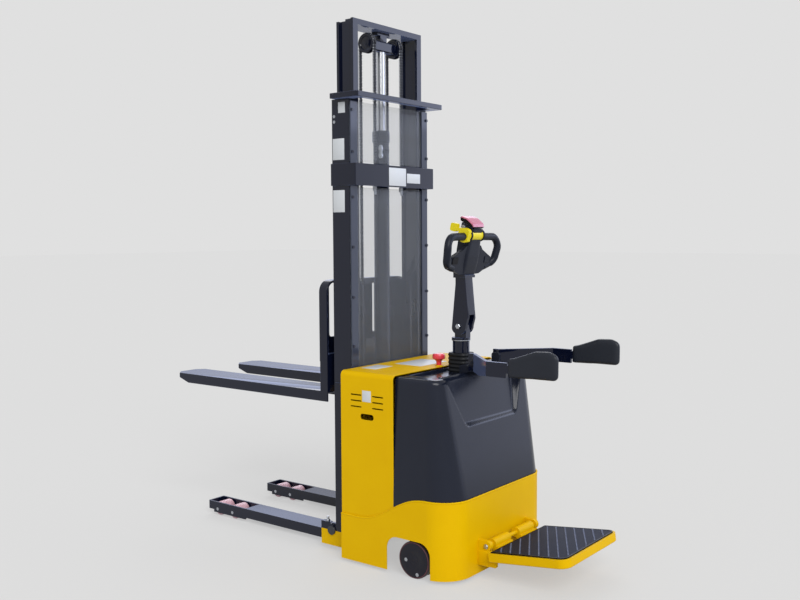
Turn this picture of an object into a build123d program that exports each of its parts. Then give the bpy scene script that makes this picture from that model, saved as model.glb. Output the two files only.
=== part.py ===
from build123d import *
import os
from math import cos, radians, sin

os.makedirs("parts", exist_ok=True)

# A ride-on electric stacker. Millimetres, +Z up, forks towards -X, the operator's platform towards +X.
# The origin is on the floor, in the middle of the overall length and width.
# Left is the operator's left hand, facing the forks: the -Y side.

# Overall
LENGTH = 2288.0
FORK_TIP_X = -LENGTH / 2
PLATFORM_END_X = LENGTH / 2
SIDES = (("left", -1), ("right", 1))

# Body covers
BODY_FRONT_X = 104.0
HOOD_FRONT_X = 396.0
BODY_REAR_X = 702.0
BODY_HALF_WIDTH = 399.0
BODY_CORNER_R = 133.0
SKIRT_WALL = 5.0
SKIRT_BOTTOM_Z = 15.0
WAVE_LOW_Z = 217.0
WAVE_HIGH_Z = 344.0
WAVE_START_X = 195.0
WAVE_MIDDLE_X = 375.0
WAVE_MIDDLE_RISE = 58.0
WAVE_END_X = 575.0
HOOD_HEM_DROP = 14.0
ARCH_CENTRE_X = 475.7
ARCH_WIDTH = 229.0
ARCH_TOP_Z = 166.0
ARCH_CORNER_R = 55.0
COVER_HALF_WIDTH = 393.0
COVER_BOTTOM_Z = 200.0
HOUSING_WALL = 3.0
HOUSING_TOP_Z = 858.0
HOUSING_EDGE_R = 22.0
LOUVRE_LENGTH = 62.0
LOUVRE_HEIGHT = 6.0
LOUVRE_PITCH_Z = 26.0
LOUVRE_PITCH_X = 121.0
LOUVRE_CENTRE = (251.5, 732.0)
HAND_SLOT_CENTRE = (252.5, 665.0)
HAND_SLOT_LENGTH = 75.0
HAND_SLOT_HEIGHT = 26.0
HOOD_WALL = 5.0
HOOD_SHOULDER_Z = 350.0
HOOD_TOP_Z = 850.0
HOOD_TOP_LEAN_X = 84.0
HOOD_TOP_LEAN_Y = 20.0
HOOD_EDGE_R = 20.0
HOOD_EDGE = ((0.29, 0.29), (1.0, 0.0))
TRAY_FRONT_X = 409.0
TRAY_REAR_X = 545.0
TRAY_HALF_WIDTH = 300.0
TRAY_FLOOR_Z = 838.0
TRAY_SKIN = 6.0
KNEE_LEDGE = (654.0, 195.0, 612.0)
KNEE_CREASE = (632.0, 200.0, 645.0)
KNEE_TOP = (556.0, 240.0, 870.0)
KNEE_FLARE = 2.0

# Chassis
PAN_Z = 165.0
PLATE = 8.0
FRONT_PLATE_X = 105.0
FRONT_PLATE_TOP_Z = 830.0
LEG_BRACKET_TOP_Z = 97.0
LEG_BRACKET_HALF = 322.0
TURRET_R = 165.0
TURRET_WALL = 15.0
TURRET_TOP_Z = 258.0
LEG_BRACKET_X = -50.0
LEG_EAR_X = -86.0

# Support legs and load wheels
LEG_CENTRE_Y = 211.0
LEG_WIDTH = 104.0
LEG_TOP_Z = 71.5
LEG_BOTTOM_Z = 25.0
LEG_WALL = 8.0
LEG_FRONT_X = -935.0
LEG_BOX_REAR_X = -661.0
LEG_BOX_BOTTOM_Z = 16.0
LOAD_WHEEL_R = 35.0
LOAD_WHEEL_WIDTH = 76.0
LOAD_WHEEL_X = (-866.0, -755.0)
LOAD_AXLE_R = 8.0
CROSS_MEMBER_X = (-24.0, 80.0)

# Mast
MAST_X = 26.0
CHANNEL_DEPTH = 100.0
FLANGE = 14.0
WEB = 10.0
OUTER_HALF = 290.0
OUTER_FLANGE_HALF = 256.0
OUTER_BOTTOM_Z = 98.0
OUTER_TOP_Z = 2060.0
INNER_DEPTH = 98.0
INNER_HALF = 254.7
INNER_WEB_HALF = 243.0
INNER_INSIDE_HALF = 221.0
INNER_BOTTOM_Z = 400.0
INNER_TOP_Z = 2418.0
TOP_PLATE = 25.0
INNER_TIE_X = (63.0, 75.0)
INNER_TIE_HEIGHT = 70.0
CROSSBAR_HALF = 325.0
CROSSBAR_X = (-6.0, 154.0)
CROSSBAR_HEIGHT = 24.0
CROSSBAR_REAR_BAR = 34.0
MID_BEAM_Z = (1675.0, 1774.0)
MID_BEAM_X = (-27.0, 117.5)
MID_BEAM_HALF = 298.0
GUSSET_HALF = 322.0
GUSSET_PLATE = 10.0
GUSSET_X = (4.0, 105.0)
GUSSET_TOP_Z = 785.0
GUSSET_SPACER_Z = ((97.0, 150.0), (600.0, 650.0))
FOOT_BLOCK_X = (-86.0, -36.0)
FOOT_BLOCK_TOP_Z = 132.0
FOOT_BOLT = (-20.0, 116.0)
FOOT_BOLT_R = 15.0
GUARD_X = 76.0
GUARD_SHEET = 4.0
GUARD_HALF = 289.0
GUARD_BOTTOM_Z = 790.0
GUARD_TOP_Z = 2050.0
GUARD_GAP_Z = (1668.0, 1781.0)
STRIP = 5.0
STRIP_INNER_HALF = 245.0
STRIP_BOLT_HALF = 280.0
STRIP_BOLT_Z = (953.0, 1174.0, 1400.0, 1623.0, 1824.0, 2009.0)
BOLT_ACROSS_FLATS = 13.0
BOLT_HEAD = 6.0
ROLLER_GAP = 0.5
ROLLER_STUB_R = 10.0
OUTER_ROLLER_Z = 2005.0
INNER_ROLLER_Z = 470.0
CARRIAGE_ROLLER_Z = (800.0, 1090.0)

# Lift cylinder and chains
BARREL_R = 35.0
BARREL_BORE_R = 29.0
BARREL_TOP_Z = 1888.0
GLAND_R = 41.0
GLAND_TOP_Z = 1940.0
ROD_R = 20.0
RUN_CLEARANCE = 0.05
ROD_BOTTOM_Z = 600.0
CROSSHEAD_Z = (2305.0, 2352.0)
CROSSHEAD_HALF = 82.0
CROSSHEAD_BRACKET = ((24.0, 2352.0), (45.0, 2378.0))
SHEAVE_X = 28.0
SHEAVE_Y = 99.0
SHEAVE_Z = 2333.0
SHEAVE_PITCH_R = 42.0
SHEAVE_FLANGE_R = 45.0
SHEAVE_HALF_WIDTH = 13.0
SHEAVE_AXLE_R = 10.0
CHAIN_THICK = 11.0
CHAIN_WIDTH = 18.0
CHAIN_GAP = 0.5
ANCHOR_Z = (1690.0, 1712.0)
ANCHOR_BOLT_R = 5.5
CHAIN_END_Z = 1745.0
CARRIAGE_CHAIN_Z = 1105.0

# Fork carriage
FORK_TOP_Z = 733.0
FORK_HEIGHT = 48.0
FORK_CENTRE_Y = 209.0
FORK_WIDTH = 178.0
FORK_WALL = 8.0
FORK_HEEL_X = -60.0
FORK_SHANK_X = -107.0
FORK_SHANK_TOP_Z = 905.0
FORK_TAPER_X = -1040.0
FORK_HOLLOW_X = -975.0
FORK_TIP_CHAMFER = 38.0
CARRIAGE_SIDE_HALF = 188.0
CARRIAGE_SIDE_PLATE = 12.0
CARRIAGE_Z = (745.0, 1235.0)
CARRIAGE_FRONT_INNER_HALF = 100.0
CARRIAGE_LOWER_BAR = 215.0
CARRIAGE_UPPER_BAR = 13.0
CHAIN_PLATE_X = (-34.0, -23.0)
CHAIN_PLATE_HALF = (13.0, 125.0)
CHAIN_PLATE_Z = (960.0, 1225.0)
CARRIAGE_ROLLER_HALF = 212.0
CARRIAGE_REAR_X = 62.0
BACKREST_HALF = 291.0
BACKREST_PLATE = 10.0
BACKREST_TOP_Z = 1246.0
BACKREST_CORNER_R = 48.0
BACKREST_WINDOW_Z = (980.0, 1231.0)
BACKREST_CENTRE_WINDOW_HALF = 112.0
BACKREST_SIDE_WINDOW = (150.0, 239.0)

# Drive unit and steering
STEER_X = 480.0
DRIVE_WHEEL_R = 115.0
DRIVE_WHEEL_WIDTH = 76.0
DRIVE_AXLE_R = 20.0
SLEW_R = 110.0
SLEW_OUTER_R = 150.0
SLEW_HEIGHT = 27.0
GEARBOX_NECK_R = 95.0
GEARBOX_LEG_Y = 88.0
GEARBOX_LEG_HALF = 42.0
GEARBOX_CASE_R = 58.0
DRIVE_MOTOR_R = 74.0
DRIVE_MOTOR_HEIGHT = 185.0
COLUMN_R = 38.0
COLUMN_TOP_Z = 993.0
YOKE_Y = (82.0, 92.0)
YOKE_TOP_Z = 507.0
YOKE_HALF = 40.0

# Tiller arm
TILT_X = 488.0
TILT_Z = 1045.0
TILT_PIN_R = 8.0
ARM_HALF_WIDTH = 33.0
ARM_FOOT_R = 38.0
ARM_KNEE = (538.0, 1088.0)
ARM_NECK_X = (472.0, 521.0)
ARM_NECK_Z = 1262.0
ARM_COLLAR = 7.0
TONGUE_HALF = 18.0
TONGUE_R = 30.0
TONGUE_ROOM = 22.0

# Tiller head, in its own leaning frame: depth towards the operator, height along the head
HEAD_LEAN = 13.0
HEAD_BASE = (500.0, 0.0, 1280.0)
SPINE_HALF = 53.0
SPINE_TOP_HALF = 42.0
SPINE_SHOULDER = 100.0
SPINE_FRONT_TOP = (-44.0, 224.0)
SPINE_REAR_TOP = (27.0, 206.0)
SPINE_FRONT = ((-44.0, 150.0), (-34.0, 70.0), (-38.0, 0.0))
SPINE_REAR = ((13.0, 0.0), (26.0, 50.0), (28.0, 90.0), (26.0, 150.0))
WEB_LOWER_EDGE = ((0.0, 0.0), (80.0, 3.0), (125.0, 24.0), (172.0, 58.0))
WEB_UPPER_EDGE = ((150.0, 80.0), (76.0, 113.0), (56.0, 132.0), (0.0, 132.0))
WEB_DEPTH = (4.0, 20.0)
GRIP_R = 17.0
GRIP_DEPTH = 16.0
GRIP_TOP = 170.0
GRIP_CORNERS = ((207.0, 168.0), (186.0, 50.0), (118.0, 29.0))
GRIP_BENDS = (46.0, 48.0, 60.0)
GRIP_FOOT = (40.0, 18.0)
THROTTLE_DEPTH = 6.0
THROTTLE_HEIGHT = 176.0
AXLE_R = 8.0
DRUM_R = 25.0
WING_R = 32.0
WING_Y = (54.0, 76.0)
WING_NECK = (-45.0, 195.0)
WING_NECK_WIDTH = 16.0
WING_EAR = (-55.0, 199.0)
WING_EAR_SIZE = (34.0, 36.0)
WING_EAR_R = 9.0
BELLY_TRAVEL = 6.0
BELLY_GAP = 0.5
BELLY_HALF = 45.0
BELLY_CORNER = 12.0
BELLY_FRONT_RISE = 2.0
BELLY_CROWN = ((27.0, 216.0), (21.0, 222.0), (-12.0, 236.0), (-46.0, 245.0), (-52.0, 241.0))
BELLY_POST = ((-20.0, 6.0), 16.0, 220.0)
HORN_DEPTH = -27.0
HORN_HEIGHT = 204.0
HORN_R = 11.0
HORN_PROUD = 4.0
KEY_Y = 127.0
KEY_HEIGHT = 66.0
KEY_HALF = (21.0, 15.0)
KEY_PROUD = 3.0
KEY_THICK = 7.5
KEY_TRAVEL = 3.0

# Gaiter, emergency stop and console on the hood
GAITER_R = 50.0
GAITER_BORE_R = 39.5
GAITER_TOP_Z = 925.0
GAITER_RIBS = 5
ESTOP_X = 375.0
ESTOP_Y = -25.0
ESTOP_STEM_R = 12.0
ESTOP_STEM = 30.0
ESTOP_BOSS_R = 19.0
ESTOP_BOSS = 4.0
ESTOP_HEAD_R = 29.0
ESTOP_HEAD = 25.0
ESTOP_NECK = (14.0, 21.0)
ESTOP_TOP_Z = 915.0
CONSOLE_HALF = 92.0
CONSOLE_FRONT_X = 532.0
CONSOLE_UNDERCUT_X = 566.0
CONSOLE_REAR = ((640.0, 864.0), (640.0, 873.0), (628.0, 880.0))
CONSOLE_CHEEK = 16.0
CONSOLE_CHEEK_HALF = 20.0
CONSOLE_CHEEK_Z = (870.0, 926.0)
CONSOLE_CHEEK_R = 12.0

# Guard arms
ARM_PIVOT_X = 612.0
ARM_PIVOT_Z = 900.0
ARM_PIN_R = 8.0
ARM_ROOT_X = 590.0
ARM_ROOT_Y = 100.0
ARM_BAR = 14.0
ARM_BAR_Z = (861.0, 939.0)
ARM_BEND_X = (617.0, 794.0)
ARM_TAIL = ((700.0, 861.0), (785.0, 878.0))
PAD_Y = 277.0
PAD_THICK = 30.0
PAD_FRONT_X = 887.0
PAD_REAR_X = 1120.0
PAD_BOTTOM_Z = 885.0
PAD_FRONT_TOP_Z = 956.0
PAD_TOP_Z = 1000.0
PAD_PEAK_X = 1021.0

# Casters
CASTER_Y = 348.0
CASTER_TRAIL = 23.0
CASTER_R = 80.0
CASTER_WHEEL = (12.0, 40.0)
CASTER_STEM_R = 15.0
CASTER_BUSH_R = 28.0
CASTER_BUSH_TOP_Z = 235.0
CASTER_AXLE_R = 9.0
CASTER_PLATE_HALF = 10.0

# Folding platform
HINGE_X = 744.0
HINGE_Z = 140.0
HINGE_PIN_R = 10.0
BARREL_OUT_R = 22.0
BARREL_Y = (37.0, 160.0)
LUG_Y = (182.0, 203.0)
LUG_FOOT_Z = 62.0
PLATFORM_TILT = 7.0
PLATFORM_HALF = 240.0
PLATFORM_DEPTH = 37.0
PLATFORM_DROP = 19.0
STRAP = (10.0, 18.0)
PLATFORM_START = 26.0
PLATFORM_CORNER_R = 45.0
PLATFORM_WALL = 6.0
MAT_THICK = 4.0
MAT_BORDER = 11.0

# Battery and power units under the covers
BATTERY_X = (125.0, 308.0)
BATTERY_HALF = 330.0
BATTERY_Z = (173.0, 560.0)
CELL_CAP_R = 16.0
CELL_PITCH = (80.0, 100.0)
OIL_TANK_X = (392.0, 608.0)
OIL_TANK_Y = (178.0, 312.0)
OIL_TANK_TOP_Z = 400.0
PUMP_MOTOR = (540.0, 245.0)
PUMP_MOTOR_R = 52.0
PUMP_MOTOR_TOP_Z = 590.0
VALVE_BLOCK_X = (405.0, 470.0)
VALVE_BLOCK_Y = (205.0, 285.0)
VALVE_BLOCK_TOP_Z = 470.0
CONTROLLER_X = (400.0, 600.0)
CONTROLLER_Y = (-312.0, -182.0)
CONTROLLER_HEIGHT = 70.0
TERMINAL_R = 8.0
TERMINAL_PITCH = (45.0, 60.0)


def block(x, y, z, mode=Mode.ADD):
    """A rectangular block between pairs of limits along X, Y and Z."""
    with Locations(((x[0] + x[1]) / 2, (y[0] + y[1]) / 2, (z[0] + z[1]) / 2)):
        Box(abs(x[1] - x[0]), abs(y[1] - y[0]), abs(z[1] - z[0]), mode=mode)


def cross_rod(x, z, y, radius, mode=Mode.ADD):
    """A round rod along Y between two limits."""
    with Locations((x, (y[0] + y[1]) / 2, z)):
        Cylinder(radius, abs(y[1] - y[0]), rotation=(90, 0, 0), mode=mode)


def post(x, y, z, radius, mode=Mode.ADD):
    """An upright round post between two heights."""
    with Locations((x, y, (z[0] + z[1]) / 2)):
        Cylinder(radius, abs(z[1] - z[0]), mode=mode)


def span(side, limits):
    """Limits on one side of the middle plane: both numbers times the side's sign."""
    return (side * limits[0], side * limits[1])


def across(half):
    """Limits that reach the same distance to both sides of the middle plane."""
    return (-half, half)


def body_plan(front_x, rear_x, half_width, corner_r, z):
    """Plan outline of the body covers: square at the mast, round at the two rear corners."""
    with BuildSketch(Plane.XY.offset(z)) as plan:
        with Locations(((front_x + rear_x) / 2, 0)):
            Rectangle(rear_x - front_x, 2 * half_width)
        fillet(plan.vertices().group_by(Axis.X)[-1], corner_r)
    return plan.sketch


def side_profile(points, y):
    """A closed outline of straight edges in the XZ plane, at a distance y from the middle plane."""
    with BuildSketch(Plane.XZ.offset(-y)) as outline:
        with BuildLine():
            Polyline(*points, close=True)
        make_face()
    return outline.sketch


def save(builder, name):
    """Labels a finished piece and writes its file."""
    builder.part.label = name
    export_step(builder.part, f"parts/{name}.step")


# Body covers


def wave_region(bottom_z):
    """The region above the skirt's wavy top edge, shifted to start at bottom_z at the mast end."""
    rise = bottom_z + WAVE_HIGH_Z - WAVE_LOW_Z
    top = HOUSING_TOP_Z + 100
    front = BODY_FRONT_X - 100
    rear = BODY_REAR_X + 100
    with BuildSketch(Plane.XZ) as region:
        with BuildLine():
            Line((front, bottom_z), (WAVE_START_X, bottom_z))
            Spline(
                (WAVE_START_X, bottom_z),
                (WAVE_MIDDLE_X, bottom_z + WAVE_MIDDLE_RISE),
                (WAVE_END_X, rise),
                tangents=((1, 0), (1, 0)),
            )
            Polyline((WAVE_END_X, rise), (rear, rise), (rear, top), (front, top), (front, bottom_z))
        make_face()
    return region.sketch


with BuildPart() as skirt:
    extrude(
        body_plan(BODY_FRONT_X, BODY_REAR_X, BODY_HALF_WIDTH, BODY_CORNER_R, SKIRT_BOTTOM_Z),
        amount=WAVE_HIGH_Z + 20 - SKIRT_BOTTOM_Z,
    )
    extrude(
        body_plan(
            BODY_FRONT_X - SKIRT_WALL,
            BODY_REAR_X - SKIRT_WALL,
            BODY_HALF_WIDTH - SKIRT_WALL,
            BODY_CORNER_R - SKIRT_WALL,
            SKIRT_BOTTOM_Z - 1,
        ),
        amount=WAVE_HIGH_Z + 40,
        mode=Mode.SUBTRACT,
    )
    extrude(wave_region(WAVE_LOW_Z), amount=2 * BODY_HALF_WIDTH, both=True, mode=Mode.SUBTRACT)
    with BuildSketch(Plane.XZ) as arch:
        arch_height = ARCH_TOP_Z - SKIRT_BOTTOM_Z + 20
        with Locations((ARCH_CENTRE_X, ARCH_TOP_Z - arch_height / 2)):
            Rectangle(ARCH_WIDTH, arch_height)
        fillet(arch.vertices().group_by(Axis.Y)[-1], ARCH_CORNER_R)
    extrude(amount=2 * BODY_HALF_WIDTH, both=True, mode=Mode.SUBTRACT)
save(skirt, "skirt")

with BuildPart() as front_housing:
    with BuildSketch(Plane.YZ.offset(BODY_FRONT_X)) as hoop:
        with Locations((0, (COVER_BOTTOM_Z + HOUSING_TOP_Z) / 2)):
            Rectangle(2 * COVER_HALF_WIDTH, HOUSING_TOP_Z - COVER_BOTTOM_Z)
        fillet(hoop.vertices().group_by(Axis.Y)[-1], HOUSING_EDGE_R)
        with BuildSketch(mode=Mode.SUBTRACT) as hollow:
            with Locations((0, (COVER_BOTTOM_Z + HOUSING_TOP_Z) / 2 - HOUSING_WALL)):
                Rectangle(2 * (COVER_HALF_WIDTH - HOUSING_WALL), HOUSING_TOP_Z - COVER_BOTTOM_Z)
            fillet(hollow.vertices().group_by(Axis.Y)[-1], HOUSING_EDGE_R - HOUSING_WALL)
    extrude(amount=HOOD_FRONT_X - BODY_FRONT_X)
    with BuildSketch(Plane.XZ) as vents:
        with Locations(LOUVRE_CENTRE):
            with GridLocations(LOUVRE_PITCH_X, LOUVRE_PITCH_Z, 2, 3):
                SlotOverall(LOUVRE_LENGTH, LOUVRE_HEIGHT)
        with Locations(HAND_SLOT_CENTRE):
            SlotOverall(HAND_SLOT_LENGTH, HAND_SLOT_HEIGHT)
    extrude(amount=2 * BODY_HALF_WIDTH, both=True, mode=Mode.SUBTRACT)
    post(ESTOP_X, ESTOP_Y, (HOUSING_TOP_Z - HOUSING_WALL, HOUSING_TOP_Z + ESTOP_BOSS), ESTOP_BOSS_R)
    estop_bore_z = (HOUSING_TOP_Z - ESTOP_STEM, HOUSING_TOP_Z + ESTOP_STEM)
    post(ESTOP_X, ESTOP_Y, estop_bore_z, ESTOP_STEM_R + RUN_CLEARANCE, Mode.SUBTRACT)
save(front_housing, "front_housing")


def hood_outline(inset, z):
    """Plan outline of the hood at one height, drawn in by inset: it leans in above the shoulder."""
    share = max(0, (z - HOOD_SHOULDER_Z) / (HOOD_TOP_Z - HOOD_SHOULDER_Z))
    rear = BODY_REAR_X - SKIRT_WALL - 1 - inset - share * HOOD_TOP_LEAN_X
    half = COVER_HALF_WIDTH - inset - share * HOOD_TOP_LEAN_Y
    return body_plan(HOOD_FRONT_X, rear, half, BODY_CORNER_R - SKIRT_WALL - inset, z)


def knee_section(front_x, half, z):
    """One level of the knee recess: a trapezium that widens towards the operator."""
    rear_x = BODY_REAR_X + 100
    rear_half = half + KNEE_FLARE * (rear_x - front_x)
    with BuildSketch(Plane.XY.offset(z)) as section:
        with BuildLine():
            Polyline(
                (front_x, -half),
                (rear_x, -rear_half),
                (rear_x, rear_half),
                (front_x, half),
                close=True,
            )
        make_face()
    return section.sketch


def knee_recess(shift):
    """The levels of the knee recess from its ledge upward, moved forward by shift for the wall behind it."""
    levels = (KNEE_LEDGE, KNEE_CREASE, KNEE_TOP)
    return [knee_section(front_x - shift, half + shift, z) for front_x, half, z in levels]


with BuildPart() as hood_cavity:
    cavity_levels = (COVER_BOTTOM_Z - 10, HOOD_SHOULDER_Z, TRAY_FLOOR_Z - TRAY_SKIN)
    loft([hood_outline(HOOD_WALL, z) for z in cavity_levels], ruled=True)
    loft(knee_recess(HOOD_WALL), ruled=True, mode=Mode.SUBTRACT)

with BuildPart() as hood:
    shell_levels = (COVER_BOTTOM_Z, HOOD_SHOULDER_Z, HOOD_TOP_Z - HOOD_EDGE_R)
    shell = [hood_outline(0, z) for z in shell_levels]
    crown = []
    for inset, drop in HOOD_EDGE:
        crown.append(hood_outline(HOOD_EDGE_R * inset, HOOD_TOP_Z - HOOD_EDGE_R * drop))
    loft(shell + crown, ruled=True)
    loft(knee_recess(0), ruled=True, mode=Mode.SUBTRACT)
    add(hood_cavity.part, mode=Mode.SUBTRACT)
    with BuildSketch(Plane.XY.offset(TRAY_FLOOR_Z)) as tray:
        with Locations(((TRAY_FRONT_X + TRAY_REAR_X) / 2, 0)):
            RectangleRounded(TRAY_REAR_X - TRAY_FRONT_X, 2 * TRAY_HALF_WIDTH, 20)
    extrude(amount=HOOD_TOP_Z, mode=Mode.SUBTRACT)
    post(STEER_X, 0, (TRAY_FLOOR_Z - 20, HOOD_TOP_Z), COLUMN_R + 6, Mode.SUBTRACT)
    above_hem = wave_region(WAVE_LOW_Z - HOOD_HEM_DROP)
    extrude(above_hem, amount=2 * BODY_HALF_WIDTH, both=True, mode=Mode.INTERSECT)
save(hood, "hood")

# Chassis and support legs

with BuildPart() as chassis_frame:
    pan_inset = SKIRT_WALL + 4
    extrude(
        body_plan(
            FRONT_PLATE_X + PLATE,
            BODY_REAR_X - pan_inset,
            COVER_HALF_WIDTH - PLATE,
            BODY_CORNER_R - pan_inset,
            PAN_Z,
        ),
        amount=PLATE,
    )
    front_x = (FRONT_PLATE_X, FRONT_PLATE_X + PLATE)
    block(front_x, across(COVER_HALF_WIDTH - HOUSING_WALL - 2), (PAN_Z, FRONT_PLATE_TOP_Z))
    inner_leg_face = LEG_CENTRE_Y + LEG_WIDTH / 2
    shank_side = FORK_CENTRE_Y + FORK_WIDTH / 2 + 2
    for _, side in SIDES:
        block(front_x, span(side, (inner_leg_face, COVER_HALF_WIDTH - PLATE)), (LEG_BOTTOM_Z, PAN_Z))
        bracket_y = span(side, (inner_leg_face, LEG_BRACKET_HALF))
        block((LEG_BRACKET_X, FRONT_PLATE_X), bracket_y, (LEG_BOTTOM_Z, LEG_BRACKET_TOP_Z))
        ear_y = span(side, (shank_side, LEG_BRACKET_HALF))
        block((LEG_EAR_X, LEG_BRACKET_X), ear_y, (LEG_BOTTOM_Z, LEG_BRACKET_TOP_Z))
        post(ARCH_CENTRE_X, side * CASTER_Y, (PAN_Z + PLATE, CASTER_BUSH_TOP_Z), CASTER_BUSH_R)
        caster_bore = CASTER_STEM_R + RUN_CLEARANCE
        post(ARCH_CENTRE_X, side * CASTER_Y, (PAN_Z - 1, CASTER_BUSH_TOP_Z + 1), caster_bore, Mode.SUBTRACT)
    post(STEER_X, 0, (PAN_Z, TURRET_TOP_Z), TURRET_R)
    post(STEER_X, 0, (PAN_Z - 1, TURRET_TOP_Z - PLATE), TURRET_R - TURRET_WALL, Mode.SUBTRACT)
    post(STEER_X, 0, (PAN_Z - 1, TURRET_TOP_Z + 1), SLEW_R - 6, Mode.SUBTRACT)
save(chassis_frame, "chassis_frame")

with BuildPart() as support_legs:
    for _, side in SIDES:
        centre = side * LEG_CENTRE_Y
        inside = LEG_WIDTH / 2 - LEG_WALL
        whole_y = (centre - LEG_WIDTH / 2, centre + LEG_WIDTH / 2)
        hollow_y = (centre - inside, centre + inside)
        block((LEG_BOX_REAR_X, FRONT_PLATE_X), whole_y, (LEG_BOTTOM_Z, LEG_TOP_Z))
        hollow_x = (LEG_BOX_REAR_X + LEG_WALL, FRONT_PLATE_X + 1)
        block(hollow_x, hollow_y, (LEG_BOTTOM_Z + LEG_WALL, LEG_TOP_Z - LEG_WALL), Mode.SUBTRACT)
        block((LEG_FRONT_X, LEG_BOX_REAR_X), whole_y, (LEG_BOX_BOTTOM_Z, LEG_TOP_Z))
        block((LEG_FRONT_X + LEG_WALL, LEG_BOX_REAR_X), hollow_y, (0, LEG_TOP_Z + 1), Mode.SUBTRACT)
        block((LEG_FRONT_X - 1, LEG_FRONT_X + 40), whole_y, (0, LEG_BOTTOM_Z + 4), Mode.SUBTRACT)
        for wheel_x in LOAD_WHEEL_X:
            cross_rod(wheel_x, LOAD_WHEEL_R, whole_y, LOAD_AXLE_R, Mode.SUBTRACT)
    block(CROSS_MEMBER_X, across(LEG_CENTRE_Y - LEG_WIDTH / 2), (LEG_BOTTOM_Z, LEG_TOP_Z))
    nose = support_legs.edges().filter_by(Axis.Z).group_by(Axis.X)[0]
    fillet(nose, LEG_WALL * 0.8)
save(support_legs, "support_legs")

with BuildPart() as load_wheel_axles:
    for _, side in SIDES:
        for wheel_x in LOAD_WHEEL_X:
            half = LEG_WIDTH / 2 + 2
            centre = side * LEG_CENTRE_Y
            cross_rod(wheel_x, LOAD_WHEEL_R, (centre - half, centre + half), LOAD_AXLE_R)
save(load_wheel_axles, "load_wheel_axles")


def load_wheel(wheel_x, centre):
    """A wide solid-tread wheel with eased tread edges and recessed bearing faces."""
    half = LOAD_WHEEL_WIDTH / 2
    ends = (centre - half, centre + half)
    with BuildPart() as wheel:
        cross_rod(wheel_x, LOAD_WHEEL_R, ends, LOAD_WHEEL_R)
        fillet(wheel.edges().filter_by(GeomType.CIRCLE), 4)
        for end, inner in ((ends[0], ends[0] + 4), (ends[1], ends[1] - 4)):
            cross_rod(wheel_x, LOAD_WHEEL_R, (end, inner), LOAD_WHEEL_R * 0.6, Mode.SUBTRACT)
        cross_rod(wheel_x, LOAD_WHEEL_R, ends, LOAD_AXLE_R + RUN_CLEARANCE, Mode.SUBTRACT)
    return wheel


for side_name, side in SIDES:
    for place, wheel_x in zip(("front", "rear"), LOAD_WHEEL_X):
        save(load_wheel(wheel_x, side * LEG_CENTRE_Y), f"load_wheel_{side_name}_{place}")

# Outer mast

MAST_FRONT_X = MAST_X - CHANNEL_DEPTH / 2
MAST_REAR_X = MAST_X + CHANNEL_DEPTH / 2

with BuildPart() as outer_mast:
    for _, side in SIDES:
        height = (OUTER_BOTTOM_Z, OUTER_TOP_Z)
        block((MAST_FRONT_X, MAST_REAR_X), span(side, (OUTER_HALF - WEB, OUTER_HALF)), height)
        flange_y = span(side, (OUTER_FLANGE_HALF, OUTER_HALF - WEB))
        block((MAST_FRONT_X, MAST_FRONT_X + FLANGE), flange_y, height)
        block((MAST_REAR_X - FLANGE, MAST_REAR_X), flange_y, height)
        gusset_y = span(side, (GUSSET_HALF - GUSSET_PLATE, GUSSET_HALF))
        block(GUSSET_X, gusset_y, (LEG_BRACKET_TOP_Z, GUSSET_TOP_Z))
        spacer_y = span(side, (OUTER_HALF, GUSSET_HALF - GUSSET_PLATE))
        for spacer_z in GUSSET_SPACER_Z:
            block((GUSSET_X[0], MAST_REAR_X), spacer_y, spacer_z)
        foot_y = span(side, (shank_side, GUSSET_HALF))
        foot_z = (LEG_BRACKET_TOP_Z, FOOT_BLOCK_TOP_Z)
        block(FOOT_BLOCK_X, foot_y, foot_z)
        block((FOOT_BLOCK_X[1], GUSSET_X[0]), gusset_y, foot_z)
        cross_rod(*FOOT_BOLT, span(side, (GUSSET_HALF, GUSSET_HALF + 8)), FOOT_BOLT_R)
save(outer_mast, "outer_mast")

with BuildPart() as mast_crossbar:
    block(CROSSBAR_X, across(CROSSBAR_HALF), (OUTER_TOP_Z, OUTER_TOP_Z + CROSSBAR_HEIGHT))
    opening_x = (CROSSBAR_X[0] - 1, CROSSBAR_X[1] - CROSSBAR_REAR_BAR)
    block(opening_x, across(OUTER_FLANGE_HALF + 2), (OUTER_TOP_Z - 1, OUTER_TOP_Z + 50), Mode.SUBTRACT)
    corners = mast_crossbar.edges().filter_by(Axis.Z).group_by(Axis.X)[-1]
    fillet(corners, 12)
save(mast_crossbar, "mast_crossbar")

with BuildPart() as mast_mid_beam:
    block(MID_BEAM_X, across(MID_BEAM_HALF), MID_BEAM_Z)
    hollow_z = (MID_BEAM_Z[0] - 1, MID_BEAM_Z[1] + 1)
    block((MID_BEAM_X[0] - 1, MID_BEAM_X[1] - PLATE), across(OUTER_HALF), hollow_z, Mode.SUBTRACT)
    bends = mast_mid_beam.edges().filter_by(Axis.Z).group_by(Axis.X)[-1]
    fillet(bends, 6)
save(mast_mid_beam, "mast_mid_beam")

with BuildPart() as guard_sheet:
    sheet_x = (GUARD_X, GUARD_X + GUARD_SHEET)
    block(sheet_x, across(GUARD_HALF), (GUARD_BOTTOM_Z, GUARD_GAP_Z[0]))
    block(sheet_x, across(GUARD_HALF), (GUARD_GAP_Z[1], GUARD_TOP_Z))
save(guard_sheet, "guard_sheet")

with BuildPart() as guard_strips:
    for _, side in SIDES:
        strip_x = (GUARD_X + GUARD_SHEET, GUARD_X + GUARD_SHEET + STRIP)
        block(strip_x, span(side, (STRIP_INNER_HALF, GUARD_HALF)), (GUARD_BOTTOM_Z, GUARD_TOP_Z))
save(guard_strips, "guard_strips")

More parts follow.
